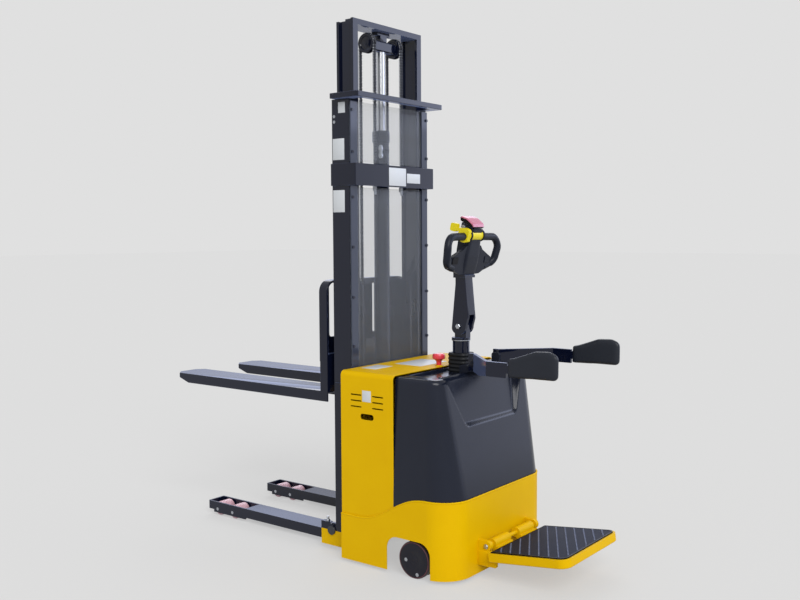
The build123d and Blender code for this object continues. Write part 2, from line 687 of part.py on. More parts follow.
with BuildPart() as guard_bolts:
    with BuildSketch(Plane.YZ.offset(GUARD_X + GUARD_SHEET + STRIP)) as heads:
        spots = [(side * STRIP_BOLT_HALF, z) for _, side in SIDES for z in STRIP_BOLT_Z]
        with Locations(*spots):
            RegularPolygon(BOLT_ACROSS_FLATS / 2, 6, major_radius=False)
    extrude(amount=BOLT_HEAD)
save(guard_bolts, "guard_bolts")

INNER_GROOVE = INNER_DEPTH - 2 * FLANGE
OUTER_GROOVE = CHANNEL_DEPTH - 2 * FLANGE

with BuildPart() as outer_mast_rollers:
    for _, side in SIDES:
        roller_y = span(side, (INNER_WEB_HALF + 1.5, INNER_HALF - 0.7))
        cross_rod(MAST_X, OUTER_ROLLER_Z, roller_y, INNER_GROOVE / 2 - ROLLER_GAP)
        cross_rod(MAST_X, OUTER_ROLLER_Z, span(side, (INNER_HALF - 0.7, OUTER_HALF - WEB)), ROLLER_STUB_R)
save(outer_mast_rollers, "outer_mast_rollers")

# Inner mast

INNER_FRONT_X = MAST_X - INNER_DEPTH / 2
INNER_REAR_X = MAST_X + INNER_DEPTH / 2

with BuildPart() as inner_mast:
    plate_bottom = INNER_TOP_Z - TOP_PLATE
    for _, side in SIDES:
        height = (INNER_BOTTOM_Z, plate_bottom)
        block((INNER_FRONT_X, INNER_REAR_X), span(side, (INNER_WEB_HALF - WEB, INNER_WEB_HALF)), height)
        flange_y = span(side, (INNER_INSIDE_HALF, INNER_HALF))
        block((INNER_FRONT_X, INNER_FRONT_X + FLANGE), flange_y, height)
        block((INNER_REAR_X - FLANGE, INNER_REAR_X), flange_y, height)
    block((INNER_FRONT_X, INNER_REAR_X), across(INNER_HALF), (plate_bottom, INNER_TOP_Z))
    tie_z = (INNER_BOTTOM_Z, INNER_BOTTOM_Z + INNER_TIE_HEIGHT)
    block(INNER_TIE_X, across(INNER_INSIDE_HALF), tie_z)
save(inner_mast, "inner_mast")

with BuildPart() as inner_mast_rollers:
    for _, side in SIDES:
        roller_y = span(side, (OUTER_FLANGE_HALF + 2, OUTER_HALF - WEB - ROLLER_GAP))
        cross_rod(MAST_X, INNER_ROLLER_Z, roller_y, OUTER_GROOVE / 2 - ROLLER_GAP)
        stub_y = span(side, (INNER_WEB_HALF, OUTER_FLANGE_HALF + 2))
        cross_rod(MAST_X, INNER_ROLLER_Z, stub_y, ROLLER_STUB_R)
save(inner_mast_rollers, "inner_mast_rollers")

# Lift cylinder, sheaves and chains

with BuildPart() as cylinder_barrel:
    post(MAST_X, 0, (LEG_TOP_Z, BARREL_TOP_Z), BARREL_R)
    post(MAST_X, 0, (LEG_TOP_Z + 40, BARREL_TOP_Z + 1), BARREL_BORE_R, Mode.SUBTRACT)
    post(MAST_X, 0, (BARREL_TOP_Z, GLAND_TOP_Z), GLAND_R)
    post(MAST_X, 0, (BARREL_TOP_Z - 1, GLAND_TOP_Z + 1), ROD_R + RUN_CLEARANCE, Mode.SUBTRACT)
    chamfer(cylinder_barrel.edges().group_by(Axis.Z)[-1].sort_by(SortBy.LENGTH)[-1], 4)
    with Locations((MAST_X + BARREL_R + 4, 0, BARREL_TOP_Z - 40)):
        Cylinder(7, 12, rotation=(0, 90, 0))
save(cylinder_barrel, "cylinder_barrel")

with BuildPart() as piston_rod:
    post(MAST_X, 0, (ROD_BOTTOM_Z, CROSSHEAD_Z[0]), ROD_R)
    chamfer(piston_rod.edges().group_by(Axis.Z)[0], 2)
save(piston_rod, "piston_rod")

with BuildPart() as chain_crosshead:
    block((MAST_X - 18, MAST_X + 22), across(CROSSHEAD_HALF), CROSSHEAD_Z)
    chamfer(chain_crosshead.edges().filter_by(Axis.Y), 5)
    cross_rod(SHEAVE_X, SHEAVE_Z, across(SHEAVE_Y + SHEAVE_HALF_WIDTH + 3), SHEAVE_AXLE_R)
    for bracket_half, bracket_z in CROSSHEAD_BRACKET:
        block((MAST_X - 16, MAST_X + 20), across(bracket_half), (bracket_z, INNER_TOP_Z - TOP_PLATE))
save(chain_crosshead, "chain_crosshead")

with BuildPart() as chain_sheaves:
    seat_r = SHEAVE_PITCH_R - CHAIN_THICK / 2 - CHAIN_GAP
    seat_half = CHAIN_WIDTH / 2 + CHAIN_GAP
    for _, side in SIDES:
        centre = side * SHEAVE_Y
        cross_rod(SHEAVE_X, SHEAVE_Z, (centre - SHEAVE_HALF_WIDTH, centre + SHEAVE_HALF_WIDTH), seat_r)
        for rim in ((seat_half, SHEAVE_HALF_WIDTH), (-SHEAVE_HALF_WIDTH, -seat_half)):
            cross_rod(SHEAVE_X, SHEAVE_Z, (centre + rim[0], centre + rim[1]), SHEAVE_FLANGE_R)
        bore_y = (centre - SHEAVE_HALF_WIDTH - 1, centre + SHEAVE_HALF_WIDTH + 1)
        cross_rod(SHEAVE_X, SHEAVE_Z, bore_y, SHEAVE_AXLE_R + RUN_CLEARANCE, Mode.SUBTRACT)
save(chain_sheaves, "chain_sheaves")

CHAIN_FRONT_X = SHEAVE_X - SHEAVE_PITCH_R
CHAIN_REAR_X = SHEAVE_X + SHEAVE_PITCH_R


def chain_band(x, low_z, high_z):
    """A pair of straight chain runs between two heights, as plain bars of the chain's section."""
    with BuildPart() as runs:
        for _, side in SIDES:
            centre = side * SHEAVE_Y
            width = (centre - CHAIN_WIDTH / 2, centre + CHAIN_WIDTH / 2)
            block((x - CHAIN_THICK / 2, x + CHAIN_THICK / 2), width, (low_z, high_z))
    return runs


save(chain_band(CHAIN_REAR_X, CHAIN_END_Z, SHEAVE_Z), "chain_rear_runs")
save(chain_band(CHAIN_FRONT_X, CARRIAGE_CHAIN_Z, SHEAVE_Z), "chain_front_runs")

with BuildPart() as chain_wraps:
    for _, side in SIDES:
        centre = side * SHEAVE_Y
        width = (centre - CHAIN_WIDTH / 2, centre + CHAIN_WIDTH / 2)
        cross_rod(SHEAVE_X, SHEAVE_Z, width, SHEAVE_PITCH_R + CHAIN_THICK / 2)
        cross_rod(SHEAVE_X, SHEAVE_Z, width, SHEAVE_PITCH_R - CHAIN_THICK / 2, Mode.SUBTRACT)
        block((SHEAVE_X - 60, SHEAVE_X + 60), width, (SHEAVE_Z - 60, SHEAVE_Z), Mode.SUBTRACT)
save(chain_wraps, "chain_wraps")

with BuildPart() as chain_anchors:
    for _, side in SIDES:
        centre = side * SHEAVE_Y
        block((CHAIN_REAR_X - 8, MID_BEAM_X[1] - PLATE), (centre - 16, centre + 16), ANCHOR_Z)
        post(CHAIN_REAR_X, centre, (ANCHOR_Z[0] - 50, ANCHOR_Z[0]), ANCHOR_BOLT_R)
        shackle_x = (CHAIN_REAR_X - CHAIN_THICK / 2, CHAIN_REAR_X + CHAIN_THICK / 2)
        block(shackle_x, (centre - 8, centre + 8), (ANCHOR_Z[1], CHAIN_END_Z))
    with BuildSketch(Plane.XY.offset(ANCHOR_Z[0] - 34)) as nuts:
        with Locations(*[(CHAIN_REAR_X - 4, side * SHEAVE_Y) for _, side in SIDES]):
            RegularPolygon(8, 6, major_radius=False)
    extrude(amount=22)
save(chain_anchors, "chain_anchors")

# Fork carriage

with BuildPart() as carriage_frame:
    plate_front_x = (FORK_HEEL_X, FORK_HEEL_X + CARRIAGE_SIDE_PLATE)
    for _, side in SIDES:
        side_y = span(side, (CARRIAGE_SIDE_HALF - CARRIAGE_SIDE_PLATE, CARRIAGE_SIDE_HALF))
        block((FORK_HEEL_X, CARRIAGE_REAR_X), side_y, CARRIAGE_Z)
        lug_y = span(side, (SHEAVE_Y - 19, SHEAVE_Y + 19))
        block((plate_front_x[1], CHAIN_FRONT_X + 12), lug_y, (CARRIAGE_CHAIN_Z - 20, CARRIAGE_CHAIN_Z))
        stay_y = span(side, (BACKREST_CENTRE_WINDOW_HALF + 6, BACKREST_SIDE_WINDOW[0] - 4))
        stay_x = (FORK_SHANK_X + BACKREST_PLATE, FORK_HEEL_X)
        block(stay_x, stay_y, (CARRIAGE_CHAIN_Z - 80, CARRIAGE_CHAIN_Z - 40))
        front_y = span(side, (CARRIAGE_FRONT_INNER_HALF, CARRIAGE_SIDE_HALF))
        block(plate_front_x, front_y, CARRIAGE_Z)
        block(CHAIN_PLATE_X, span(side, CHAIN_PLATE_HALF), CHAIN_PLATE_Z)
    lower_bar_z = (CARRIAGE_Z[0], CARRIAGE_Z[0] + CARRIAGE_LOWER_BAR)
    upper_bar_z = (CARRIAGE_Z[1] - CARRIAGE_UPPER_BAR, CARRIAGE_Z[1])
    for bar_z in (lower_bar_z, upper_bar_z):
        block(plate_front_x, across(CARRIAGE_SIDE_HALF), bar_z)
    rear_corners = carriage_frame.edges().filter_by(Axis.Y).group_by(Axis.X)[-1]
    chamfer(rear_corners, 18)
save(carriage_frame, "carriage_frame")

with BuildPart() as carriage_rollers:
    for _, side in SIDES:
        for roller_z in CARRIAGE_ROLLER_Z:
            roller_y = span(side, (CARRIAGE_ROLLER_HALF, INNER_WEB_HALF - WEB - ROLLER_GAP))
            cross_rod(MAST_X, roller_z, roller_y, INNER_GROOVE / 2 - ROLLER_GAP)
            stub_y = span(side, (CARRIAGE_SIDE_HALF, CARRIAGE_ROLLER_HALF))
            cross_rod(MAST_X, roller_z, stub_y, ROLLER_STUB_R + 2)
save(carriage_rollers, "carriage_rollers")

with BuildPart() as load_backrest:
    with BuildSketch(Plane.YZ.offset(FORK_SHANK_X)) as plate:
        with Locations((0, (FORK_SHANK_TOP_Z + BACKREST_TOP_Z) / 2)):
            Rectangle(2 * BACKREST_HALF, BACKREST_TOP_Z - FORK_SHANK_TOP_Z)
        fillet(plate.vertices().group_by(Axis.Y)[-1], BACKREST_CORNER_R)
        window_mid = sum(BACKREST_WINDOW_Z) / 2
        window_height = BACKREST_WINDOW_Z[1] - BACKREST_WINDOW_Z[0]
        with Locations((0, window_mid)):
            RectangleRounded(2 * BACKREST_CENTRE_WINDOW_HALF, window_height, 10, mode=Mode.SUBTRACT)
        side_mid = sum(BACKREST_SIDE_WINDOW) / 2
        side_width = BACKREST_SIDE_WINDOW[1] - BACKREST_SIDE_WINDOW[0]
        with Locations((-side_mid, window_mid), (side_mid, window_mid)):
            RectangleRounded(side_width, window_height, 14, mode=Mode.SUBTRACT)
    extrude(amount=BACKREST_PLATE)
save(load_backrest, "load_backrest")

with BuildPart() as forks:
    for _, side in SIDES:
        near = side * FORK_CENTRE_Y - FORK_WIDTH / 2
        blade = [
            (FORK_TIP_X, FORK_TOP_Z),
            (FORK_HEEL_X, FORK_TOP_Z),
            (FORK_HEEL_X, FORK_TOP_Z - FORK_HEIGHT),
            (FORK_TAPER_X, FORK_TOP_Z - FORK_HEIGHT),
            (FORK_TIP_X, FORK_TOP_Z - FORK_WALL * 1.6),
        ]
        extrude(side_profile(blade, near), amount=-FORK_WIDTH)
    tips = forks.edges().filter_by(Axis.Z).group_by(Axis.X)[0]
    chamfer(tips, FORK_TIP_CHAMFER)
    for _, side in SIDES:
        centre = side * FORK_CENTRE_Y
        inside = FORK_WIDTH / 2 - FORK_WALL
        hollow_x = (FORK_HOLLOW_X, FORK_HEEL_X + 1)
        hollow_z = (FORK_TOP_Z - FORK_HEIGHT - 1, FORK_TOP_Z - FORK_WALL)
        block(hollow_x, (centre - inside, centre + inside), hollow_z, Mode.SUBTRACT)
        whole_y = (centre - FORK_WIDTH / 2, centre + FORK_WIDTH / 2)
        block((FORK_SHANK_X, FORK_HEEL_X), whole_y, (FORK_TOP_Z - FORK_WALL, FORK_SHANK_TOP_Z))
save(forks, "forks")

# Drive unit and steering

with BuildPart() as slew_bearing:
    post(STEER_X, 0, (TURRET_TOP_Z, TURRET_TOP_Z + SLEW_HEIGHT), SLEW_OUTER_R)
    bore_z = (TURRET_TOP_Z - 1, TURRET_TOP_Z + SLEW_HEIGHT + 1)
    post(STEER_X, 0, bore_z, SLEW_R + RUN_CLEARANCE, Mode.SUBTRACT)
save(slew_bearing, "slew_bearing")

FLANGE_TOP_Z = TURRET_TOP_Z + SLEW_HEIGHT
GEARBOX_ROOF_Z = 2 * DRIVE_WHEEL_R + 6

with BuildPart() as drive_gearbox:
    post(STEER_X, 0, (TURRET_TOP_Z, FLANGE_TOP_Z), SLEW_R)
    post(STEER_X, 0, (GEARBOX_ROOF_Z, TURRET_TOP_Z), GEARBOX_NECK_R)
    leg_y = (DRIVE_WHEEL_WIDTH / 2 + 7, GEARBOX_LEG_Y)
    leg_x = (STEER_X - GEARBOX_LEG_HALF, STEER_X + GEARBOX_LEG_HALF)
    block(leg_x, leg_y, (DRIVE_WHEEL_R, GEARBOX_ROOF_Z))
    cross_rod(STEER_X, DRIVE_WHEEL_R, leg_y, GEARBOX_CASE_R)
    cross_rod(STEER_X, DRIVE_WHEEL_R, (-DRIVE_WHEEL_WIDTH / 2 + 8, leg_y[0]), DRIVE_AXLE_R)
save(drive_gearbox, "drive_gearbox")

with BuildPart() as drive_wheel:
    tread_y = across(DRIVE_WHEEL_WIDTH / 2)
    cross_rod(STEER_X, DRIVE_WHEEL_R, tread_y, DRIVE_WHEEL_R)
    fillet(drive_wheel.edges().filter_by(GeomType.CIRCLE), 8)
    for end, inner in ((tread_y[0], tread_y[0] + 10), (tread_y[1], tread_y[1] - 10)):
        cross_rod(STEER_X, DRIVE_WHEEL_R, (end, inner), DRIVE_WHEEL_R * 0.66, Mode.SUBTRACT)
    cross_rod(STEER_X, DRIVE_WHEEL_R, tread_y, DRIVE_AXLE_R + RUN_CLEARANCE, Mode.SUBTRACT)
save(drive_wheel, "drive_wheel")

with BuildPart() as drive_motor:
    motor_top = FLANGE_TOP_Z + DRIVE_MOTOR_HEIGHT
    post(STEER_X, 0, (FLANGE_TOP_Z, motor_top), DRIVE_MOTOR_R)
    fillet(drive_motor.edges().group_by(Axis.Z)[-1], 8)
    post(STEER_X, 0, (motor_top - 1, motor_top + 14), 45)
save(drive_motor, "drive_motor")

with BuildPart() as steering_column:
    yoke_x = (STEER_X - YOKE_HALF, STEER_X + YOKE_HALF)
    for _, side in SIDES:
        block(yoke_x, span(side, YOKE_Y), (FLANGE_TOP_Z, YOKE_TOP_Z))
    block(yoke_x, across(YOKE_Y[1]), (YOKE_TOP_Z - 12, YOKE_TOP_Z))
    post(STEER_X, 0, (YOKE_TOP_Z, COLUMN_TOP_Z), COLUMN_R)
    post(STEER_X, 0, (COLUMN_TOP_Z - 9, COLUMN_TOP_Z), COLUMN_R + 4)
    block((TILT_X - TONGUE_R, TILT_X + TONGUE_R), across(TONGUE_HALF), (COLUMN_TOP_Z, TILT_Z))
    cross_rod(TILT_X, TILT_Z, across(TONGUE_HALF), TONGUE_R)
    cross_rod(TILT_X, TILT_Z, across(ARM_HALF_WIDTH + 3), TILT_PIN_R)
save(steering_column, "steering_column")

# Tiller

LEAN_COS = cos(radians(HEAD_LEAN))
LEAN_SIN = sin(radians(HEAD_LEAN))
HEAD_SIDE = Plane(HEAD_BASE, x_dir=(LEAN_COS, 0, -LEAN_SIN), z_dir=(0, -1, 0))
HEAD_FACE = Plane(HEAD_BASE, x_dir=(0, 1, 0), z_dir=(LEAN_COS, 0, -LEAN_SIN))
HEAD_PLAN = Plane(HEAD_BASE, x_dir=(LEAN_COS, 0, -LEAN_SIN), z_dir=(LEAN_SIN, 0, LEAN_COS))


def head_slab(points, y, mode=Mode.ADD):
    """A slab of the head: an outline of depth and height, between two limits across the head."""
    with BuildSketch(HEAD_SIDE.offset(-y[1])) as outline:
        with BuildLine():
            Polyline(*points, close=True)
        make_face()
    extrude(outline.sketch, amount=y[1] - y[0], mode=mode)


def head_block(depth, y, height, mode=Mode.ADD):
    """A rectangular block in the head's leaning frame."""
    corners = [(d, h) for d, h in zip((*depth, *depth[::-1]), (height[0], height[0], height[1], height[1]))]
    head_slab(corners, y, mode)


def head_rod(depth, height, y, radius, mode=Mode.ADD):
    """A round rod across the head between two limits."""
    low, high = sorted(y)
    with BuildSketch(HEAD_SIDE.offset(-high)) as section:
        with Locations((depth, height)):
            Circle(radius)
    extrude(section.sketch, amount=high - low, mode=mode)


with BuildPart() as tiller_arm:
    with BuildSketch(Plane.XZ.offset(-ARM_HALF_WIDTH)) as side_view:
        with BuildLine():
            foot = CenterArc((TILT_X, TILT_Z), ARM_FOOT_R, 180, 180)
            Polyline(
                foot @ 1,
                ARM_KNEE,
                (ARM_NECK_X[1], ARM_NECK_Z),
                (ARM_NECK_X[1], ARM_NECK_Z + 60),
                (ARM_NECK_X[0], ARM_NECK_Z + 60),
                (ARM_NECK_X[0], ARM_NECK_Z),
                foot @ 0,
            )
        make_face()
    extrude(amount=2 * ARM_HALF_WIDTH)
    long_edges = tiller_arm.edges().filter_by(lambda edge: edge.length > 150)
    fillet(long_edges, 6)
    slot_z = (TILT_Z - 2 * ARM_FOOT_R, TILT_Z + TONGUE_R + TONGUE_ROOM)
    block((TILT_X - 80, TILT_X + 80), across(TONGUE_HALF + 0.5), slot_z, Mode.SUBTRACT)
    pin_y = across(ARM_HALF_WIDTH + 1)
    cross_rod(TILT_X, TILT_Z, pin_y, TILT_PIN_R + RUN_CLEARANCE, Mode.SUBTRACT)
    collar_x = (ARM_NECK_X[0] - ARM_COLLAR, ARM_NECK_X[1] + ARM_COLLAR)
    block(collar_x, across(ARM_HALF_WIDTH + ARM_COLLAR), (ARM_NECK_Z, ARM_NECK_Z + 60))
    split(bisect_by=HEAD_PLAN, keep=Keep.BOTTOM)
save(tiller_arm, "tiller_arm")

with BuildPart() as tiller_head:
    head_slab([*SPINE_REAR, SPINE_REAR_TOP, SPINE_FRONT_TOP, *SPINE_FRONT], across(SPINE_HALF))
    floor = -SPINE_SHOULDER
    roof = SPINE_FRONT_TOP[1] + SPINE_SHOULDER
    with BuildSketch(HEAD_FACE.offset(-SPINE_SHOULDER)) as spine_face:
        with BuildLine():
            Polyline(
                (-SPINE_HALF, floor),
                (SPINE_HALF, floor),
                (SPINE_HALF, SPINE_SHOULDER),
                (SPINE_TOP_HALF, THROTTLE_HEIGHT),
                (SPINE_TOP_HALF, roof),
                (-SPINE_TOP_HALF, roof),
                (-SPINE_TOP_HALF, THROTTLE_HEIGHT),
                (-SPINE_HALF, SPINE_SHOULDER),
                close=True,
            )
        make_face()
    extrude(amount=2 * SPINE_SHOULDER, mode=Mode.INTERSECT)
    with BuildSketch(HEAD_FACE.offset(WEB_DEPTH[0])) as webs:
        with BuildLine():
            Polyline(*WEB_LOWER_EDGE, *WEB_UPPER_EDGE, close=True)
        make_face()
        mirror(about=Plane.YZ)
    extrude(amount=WEB_DEPTH[1] - WEB_DEPTH[0])
    for _, side in SIDES:
        with BuildLine(HEAD_FACE.offset(GRIP_DEPTH)) as grip_path:
            FilletPolyline(
                (side * (WING_Y[1] + 1), GRIP_TOP),
                *[(side * reach, height) for reach, height in GRIP_CORNERS],
                (side * GRIP_FOOT[0], GRIP_FOOT[1]),
                radius=GRIP_BENDS,
            )
        with BuildSketch(Plane(grip_path.line @ 0, z_dir=grip_path.line % 0)) as grip_section:
            Circle(GRIP_R)
        sweep()
    head_rod(THROTTLE_DEPTH, THROTTLE_HEIGHT, across(SPINE_HALF + 1), DRUM_R + 1, Mode.SUBTRACT)
    head_rod(THROTTLE_DEPTH, THROTTLE_HEIGHT, across(WING_Y[1] + 6), AXLE_R)
    head_block(BELLY_POST[0], across(BELLY_POST[1]), (SPINE_REAR_TOP[1], BELLY_POST[2]))
    horn_y = (-SPINE_TOP_HALF - 1, -SPINE_TOP_HALF + 8)
    head_rod(HORN_DEPTH, HORN_HEIGHT, horn_y, HORN_R + 0.5, Mode.SUBTRACT)
    key_face = WEB_DEPTH[1]
    for _, side in SIDES:
        room_y = KEY_HALF[0] + 0.5
        room_z = KEY_HALF[1] + 0.5
        key_depth = (key_face + KEY_PROUD - KEY_THICK - KEY_TRAVEL - 0.5, GRIP_DEPTH + 2 * GRIP_R)
        key_y = (side * KEY_Y - room_y, side * KEY_Y + room_y)
        head_block(key_depth, key_y, (KEY_HEIGHT - room_z, KEY_HEIGHT + room_z), Mode.SUBTRACT)
    split(bisect_by=HEAD_PLAN, keep=Keep.TOP)
save(tiller_head, "tiller_head")

with BuildPart() as throttle:
    head_rod(THROTTLE_DEPTH, THROTTLE_HEIGHT, across(WING_Y[0]), DRUM_R)
    neck_end, neck_height = WING_NECK
    for _, side in SIDES:
        low, high = sorted(span(side, WING_Y))
        with BuildSketch(HEAD_SIDE.offset(-high)) as wing:
            with Locations((THROTTLE_DEPTH, THROTTLE_HEIGHT)):
                Circle(WING_R)
            with Locations(((neck_end + THROTTLE_DEPTH) / 2, neck_height)):
                Rectangle(THROTTLE_DEPTH - neck_end, WING_NECK_WIDTH)
            with Locations(WING_EAR):
                RectangleRounded(*WING_EAR_SIZE, WING_EAR_R)
        extrude(amount=high - low)
    axle_y = across(WING_Y[1] + 1)
    head_rod(THROTTLE_DEPTH, THROTTLE_HEIGHT, axle_y, AXLE_R + RUN_CLEARANCE, Mode.SUBTRACT)
save(throttle, "throttle")

with BuildPart() as belly_button:
    lift = BELLY_TRAVEL + BELLY_GAP
    cap_side = [
        (BELLY_CROWN[-1][0], SPINE_FRONT_TOP[1] + lift + BELLY_FRONT_RISE),
        (SPINE_REAR_TOP[0], SPINE_REAR_TOP[1] + lift),
        *BELLY_CROWN,
    ]
    head_slab(cap_side, across(BELLY_HALF))
    cap_depth = (BELLY_CROWN[-1][0], BELLY_CROWN[0][0])
    with BuildSketch(HEAD_PLAN) as cap_plan:
        with Locations((sum(cap_depth) / 2, 0)):
            RectangleRounded(cap_depth[1] - cap_depth[0], 2 * BELLY_HALF, BELLY_CORNER)
    extrude(amount=2 * SPINE_FRONT_TOP[1], mode=Mode.INTERSECT)
    post_depth = (BELLY_POST[0][0] - BELLY_GAP, BELLY_POST[0][1] + BELLY_GAP)
    post_height = (THROTTLE_HEIGHT, BELLY_POST[2] + lift)
    head_block(post_depth, across(BELLY_POST[1] + BELLY_GAP), post_height, Mode.SUBTRACT)
save(belly_button, "belly_button")

with BuildPart() as horn_button:
    head_rod(HORN_DEPTH, HORN_HEIGHT, (-SPINE_TOP_HALF - HORN_PROUD, -SPINE_TOP_HALF + 4), HORN_R)
    fillet(horn_button.edges().sort_by(Axis.Y)[0], 1.5)
save(horn_button, "horn_button")

for key_name, side in (("lift_button", -1), ("lower_button", 1)):
    with BuildPart() as key:
        key_top = key_face + KEY_PROUD
        key_y = (side * KEY_Y - KEY_HALF[0], side * KEY_Y + KEY_HALF[0])
        key_z = (KEY_HEIGHT - KEY_HALF[1], KEY_HEIGHT + KEY_HALF[1])
        head_block((key_top - KEY_THICK, key_top), key_y, key_z)
    save(key, key_name)

# Gaiter, emergency stop and console

with BuildPart() as gaiter:
    rib = (GAITER_TOP_Z - TRAY_FLOOR_Z) / GAITER_RIBS
    with BuildSketch(Plane.XZ) as gaiter_wall:
        with BuildLine():
            crests = []
            for fold in range(GAITER_RIBS):
                foot_z = TRAY_FLOOR_Z + fold * rib
                crests += [(STEER_X + GAITER_R - 6, foot_z), (STEER_X + GAITER_R, foot_z + 0.3 * rib)]
                crests += [(STEER_X + GAITER_R, foot_z + 0.7 * rib)]
            Polyline(
                (STEER_X + GAITER_BORE_R, TRAY_FLOOR_Z),
                *crests,
                (STEER_X + GAITER_R - 6, GAITER_TOP_Z),
                (STEER_X + GAITER_BORE_R, GAITER_TOP_Z),
                close=True,
            )
        make_face()
    revolve(axis=Axis((STEER_X, 0, 0), (0, 0, 1)))
save(gaiter, "gaiter")

with BuildPart() as estop_button:
    head_bottom = ESTOP_TOP_Z - ESTOP_HEAD
    neck_height, neck_r = ESTOP_NECK
    post(ESTOP_X, ESTOP_Y, (HOUSING_TOP_Z - ESTOP_STEM, head_bottom), ESTOP_STEM_R)
    with Locations((ESTOP_X, ESTOP_Y, head_bottom - neck_height / 2)):
        Cone(ESTOP_STEM_R, neck_r, neck_height)
    post(ESTOP_X, ESTOP_Y, (head_bottom, ESTOP_TOP_Z), ESTOP_HEAD_R)
    fillet(estop_button.edges().group_by(Axis.Z)[-1], 8)
save(estop_button, "estop_button")

with BuildPart() as console:
    console_side = [
        (CONSOLE_FRONT_X, TRAY_FLOOR_Z),
        (TRAY_REAR_X - 0.5, TRAY_FLOOR_Z),
        (TRAY_REAR_X - 0.5, HOOD_TOP_Z),
        (CONSOLE_UNDERCUT_X, HOOD_TOP_Z),
        *CONSOLE_REAR,
        (CONSOLE_FRONT_X, CONSOLE_REAR[-1][1]),
    ]
    extrude(side_profile(console_side, CONSOLE_HALF), amount=2 * CONSOLE_HALF)
    cheek_x = (ARM_PIVOT_X - CONSOLE_CHEEK_HALF, ARM_PIVOT_X + CONSOLE_CHEEK_HALF)
    for _, side in SIDES:
        cheek_y = span(side, (CONSOLE_HALF - CONSOLE_CHEEK, CONSOLE_HALF))
        block(cheek_x, cheek_y, CONSOLE_CHEEK_Z)
    fillet(console.edges().filter_by(Axis.Y).group_by(Axis.Z)[-1], CONSOLE_CHEEK_R)
    for _, side in SIDES:
        pin_y = span(side, (CONSOLE_HALF - CONSOLE_CHEEK / 2, ARM_ROOT_Y + ARM_BAR))
        cross_rod(ARM_PIVOT_X, ARM_PIVOT_Z, pin_y, ARM_PIN_R)
save(console, "console")

# Guard arms and their pads

PAD_OUTLINE = [
    (PAD_FRONT_X, PAD_BOTTOM_Z),
    (PAD_REAR_X - 2, PAD_BOTTOM_Z + 8),
    (PAD_REAR_X, PAD_TOP_Z - 18),
    (PAD_PEAK_X + 62, PAD_TOP_Z),
    (PAD_PEAK_X, PAD_TOP_Z),
    (PAD_FRONT_X, PAD_FRONT_TOP_Z),
]
TONGUE_Z = (PAD_BOTTOM_Z + 12, PAD_FRONT_TOP_Z - 24)

for side_name, side in SIDES:
    with BuildPart() as guard_arm:
        with BuildSketch(Plane.XY.offset(ARM_BAR_Z[0])) as bar_plan:
            with BuildLine() as bar_line:
                Polyline(
                    (ARM_ROOT_X, side * ARM_ROOT_Y),
                    (ARM_BEND_X[0], side * ARM_ROOT_Y),
                    (ARM_BEND_X[1], side * PAD_Y),
                    (PAD_FRONT_X - 0.5, side * PAD_Y),
                )
            trace(line_width=ARM_BAR)
        extrude(amount=ARM_BAR_Z[1] - ARM_BAR_Z[0])
        under_tail = [
            *ARM_TAIL,
            (PAD_REAR_X, ARM_TAIL[1][1]),
            (PAD_REAR_X, ARM_BAR_Z[0] - ARM_BAR),
            (ARM_TAIL[0][0], ARM_BAR_Z[0] - ARM_BAR),
        ]
        reach = PAD_Y + PAD_THICK
        extrude(side_profile(under_tail, reach), amount=2 * reach, mode=Mode.SUBTRACT)
        eye_y = span(side, (ARM_ROOT_Y - ARM_BAR, ARM_ROOT_Y + ARM_BAR))
        cross_rod(ARM_PIVOT_X, ARM_PIVOT_Z, eye_y, ARM_PIN_R + RUN_CLEARANCE, Mode.SUBTRACT)
        tongue_y = (side * PAD_Y - ARM_BAR / 2, side * PAD_Y + ARM_BAR / 2)
        block((PAD_FRONT_X - 1, PAD_REAR_X - 30), tongue_y, TONGUE_Z)
    save(guard_arm, f"arm_{side_name}")

for side_name, side in SIDES:
    with BuildPart() as pad:
        with BuildSketch(Plane.XZ.offset(-side * PAD_Y - PAD_THICK / 2)) as pad_side:
            with BuildLine():
                Polyline(*PAD_OUTLINE, close=True)
            make_face()
            fillet(pad_side.vertices().group_by(Axis.X)[-1] + pad_side.vertices().group_by(Axis.X)[-2], 16)
        extrude(amount=PAD_THICK)
        rim_edges = pad.faces().filter_by(Axis.Y).edges()
        fillet(rim_edges, 7)
        pocket_y = (side * PAD_Y - ARM_BAR / 2, side * PAD_Y + ARM_BAR / 2)
        block((PAD_FRONT_X - 1, PAD_REAR_X - 30), pocket_y, TONGUE_Z, Mode.SUBTRACT)
    save(pad, f"pad_{side_name}")

# Casters

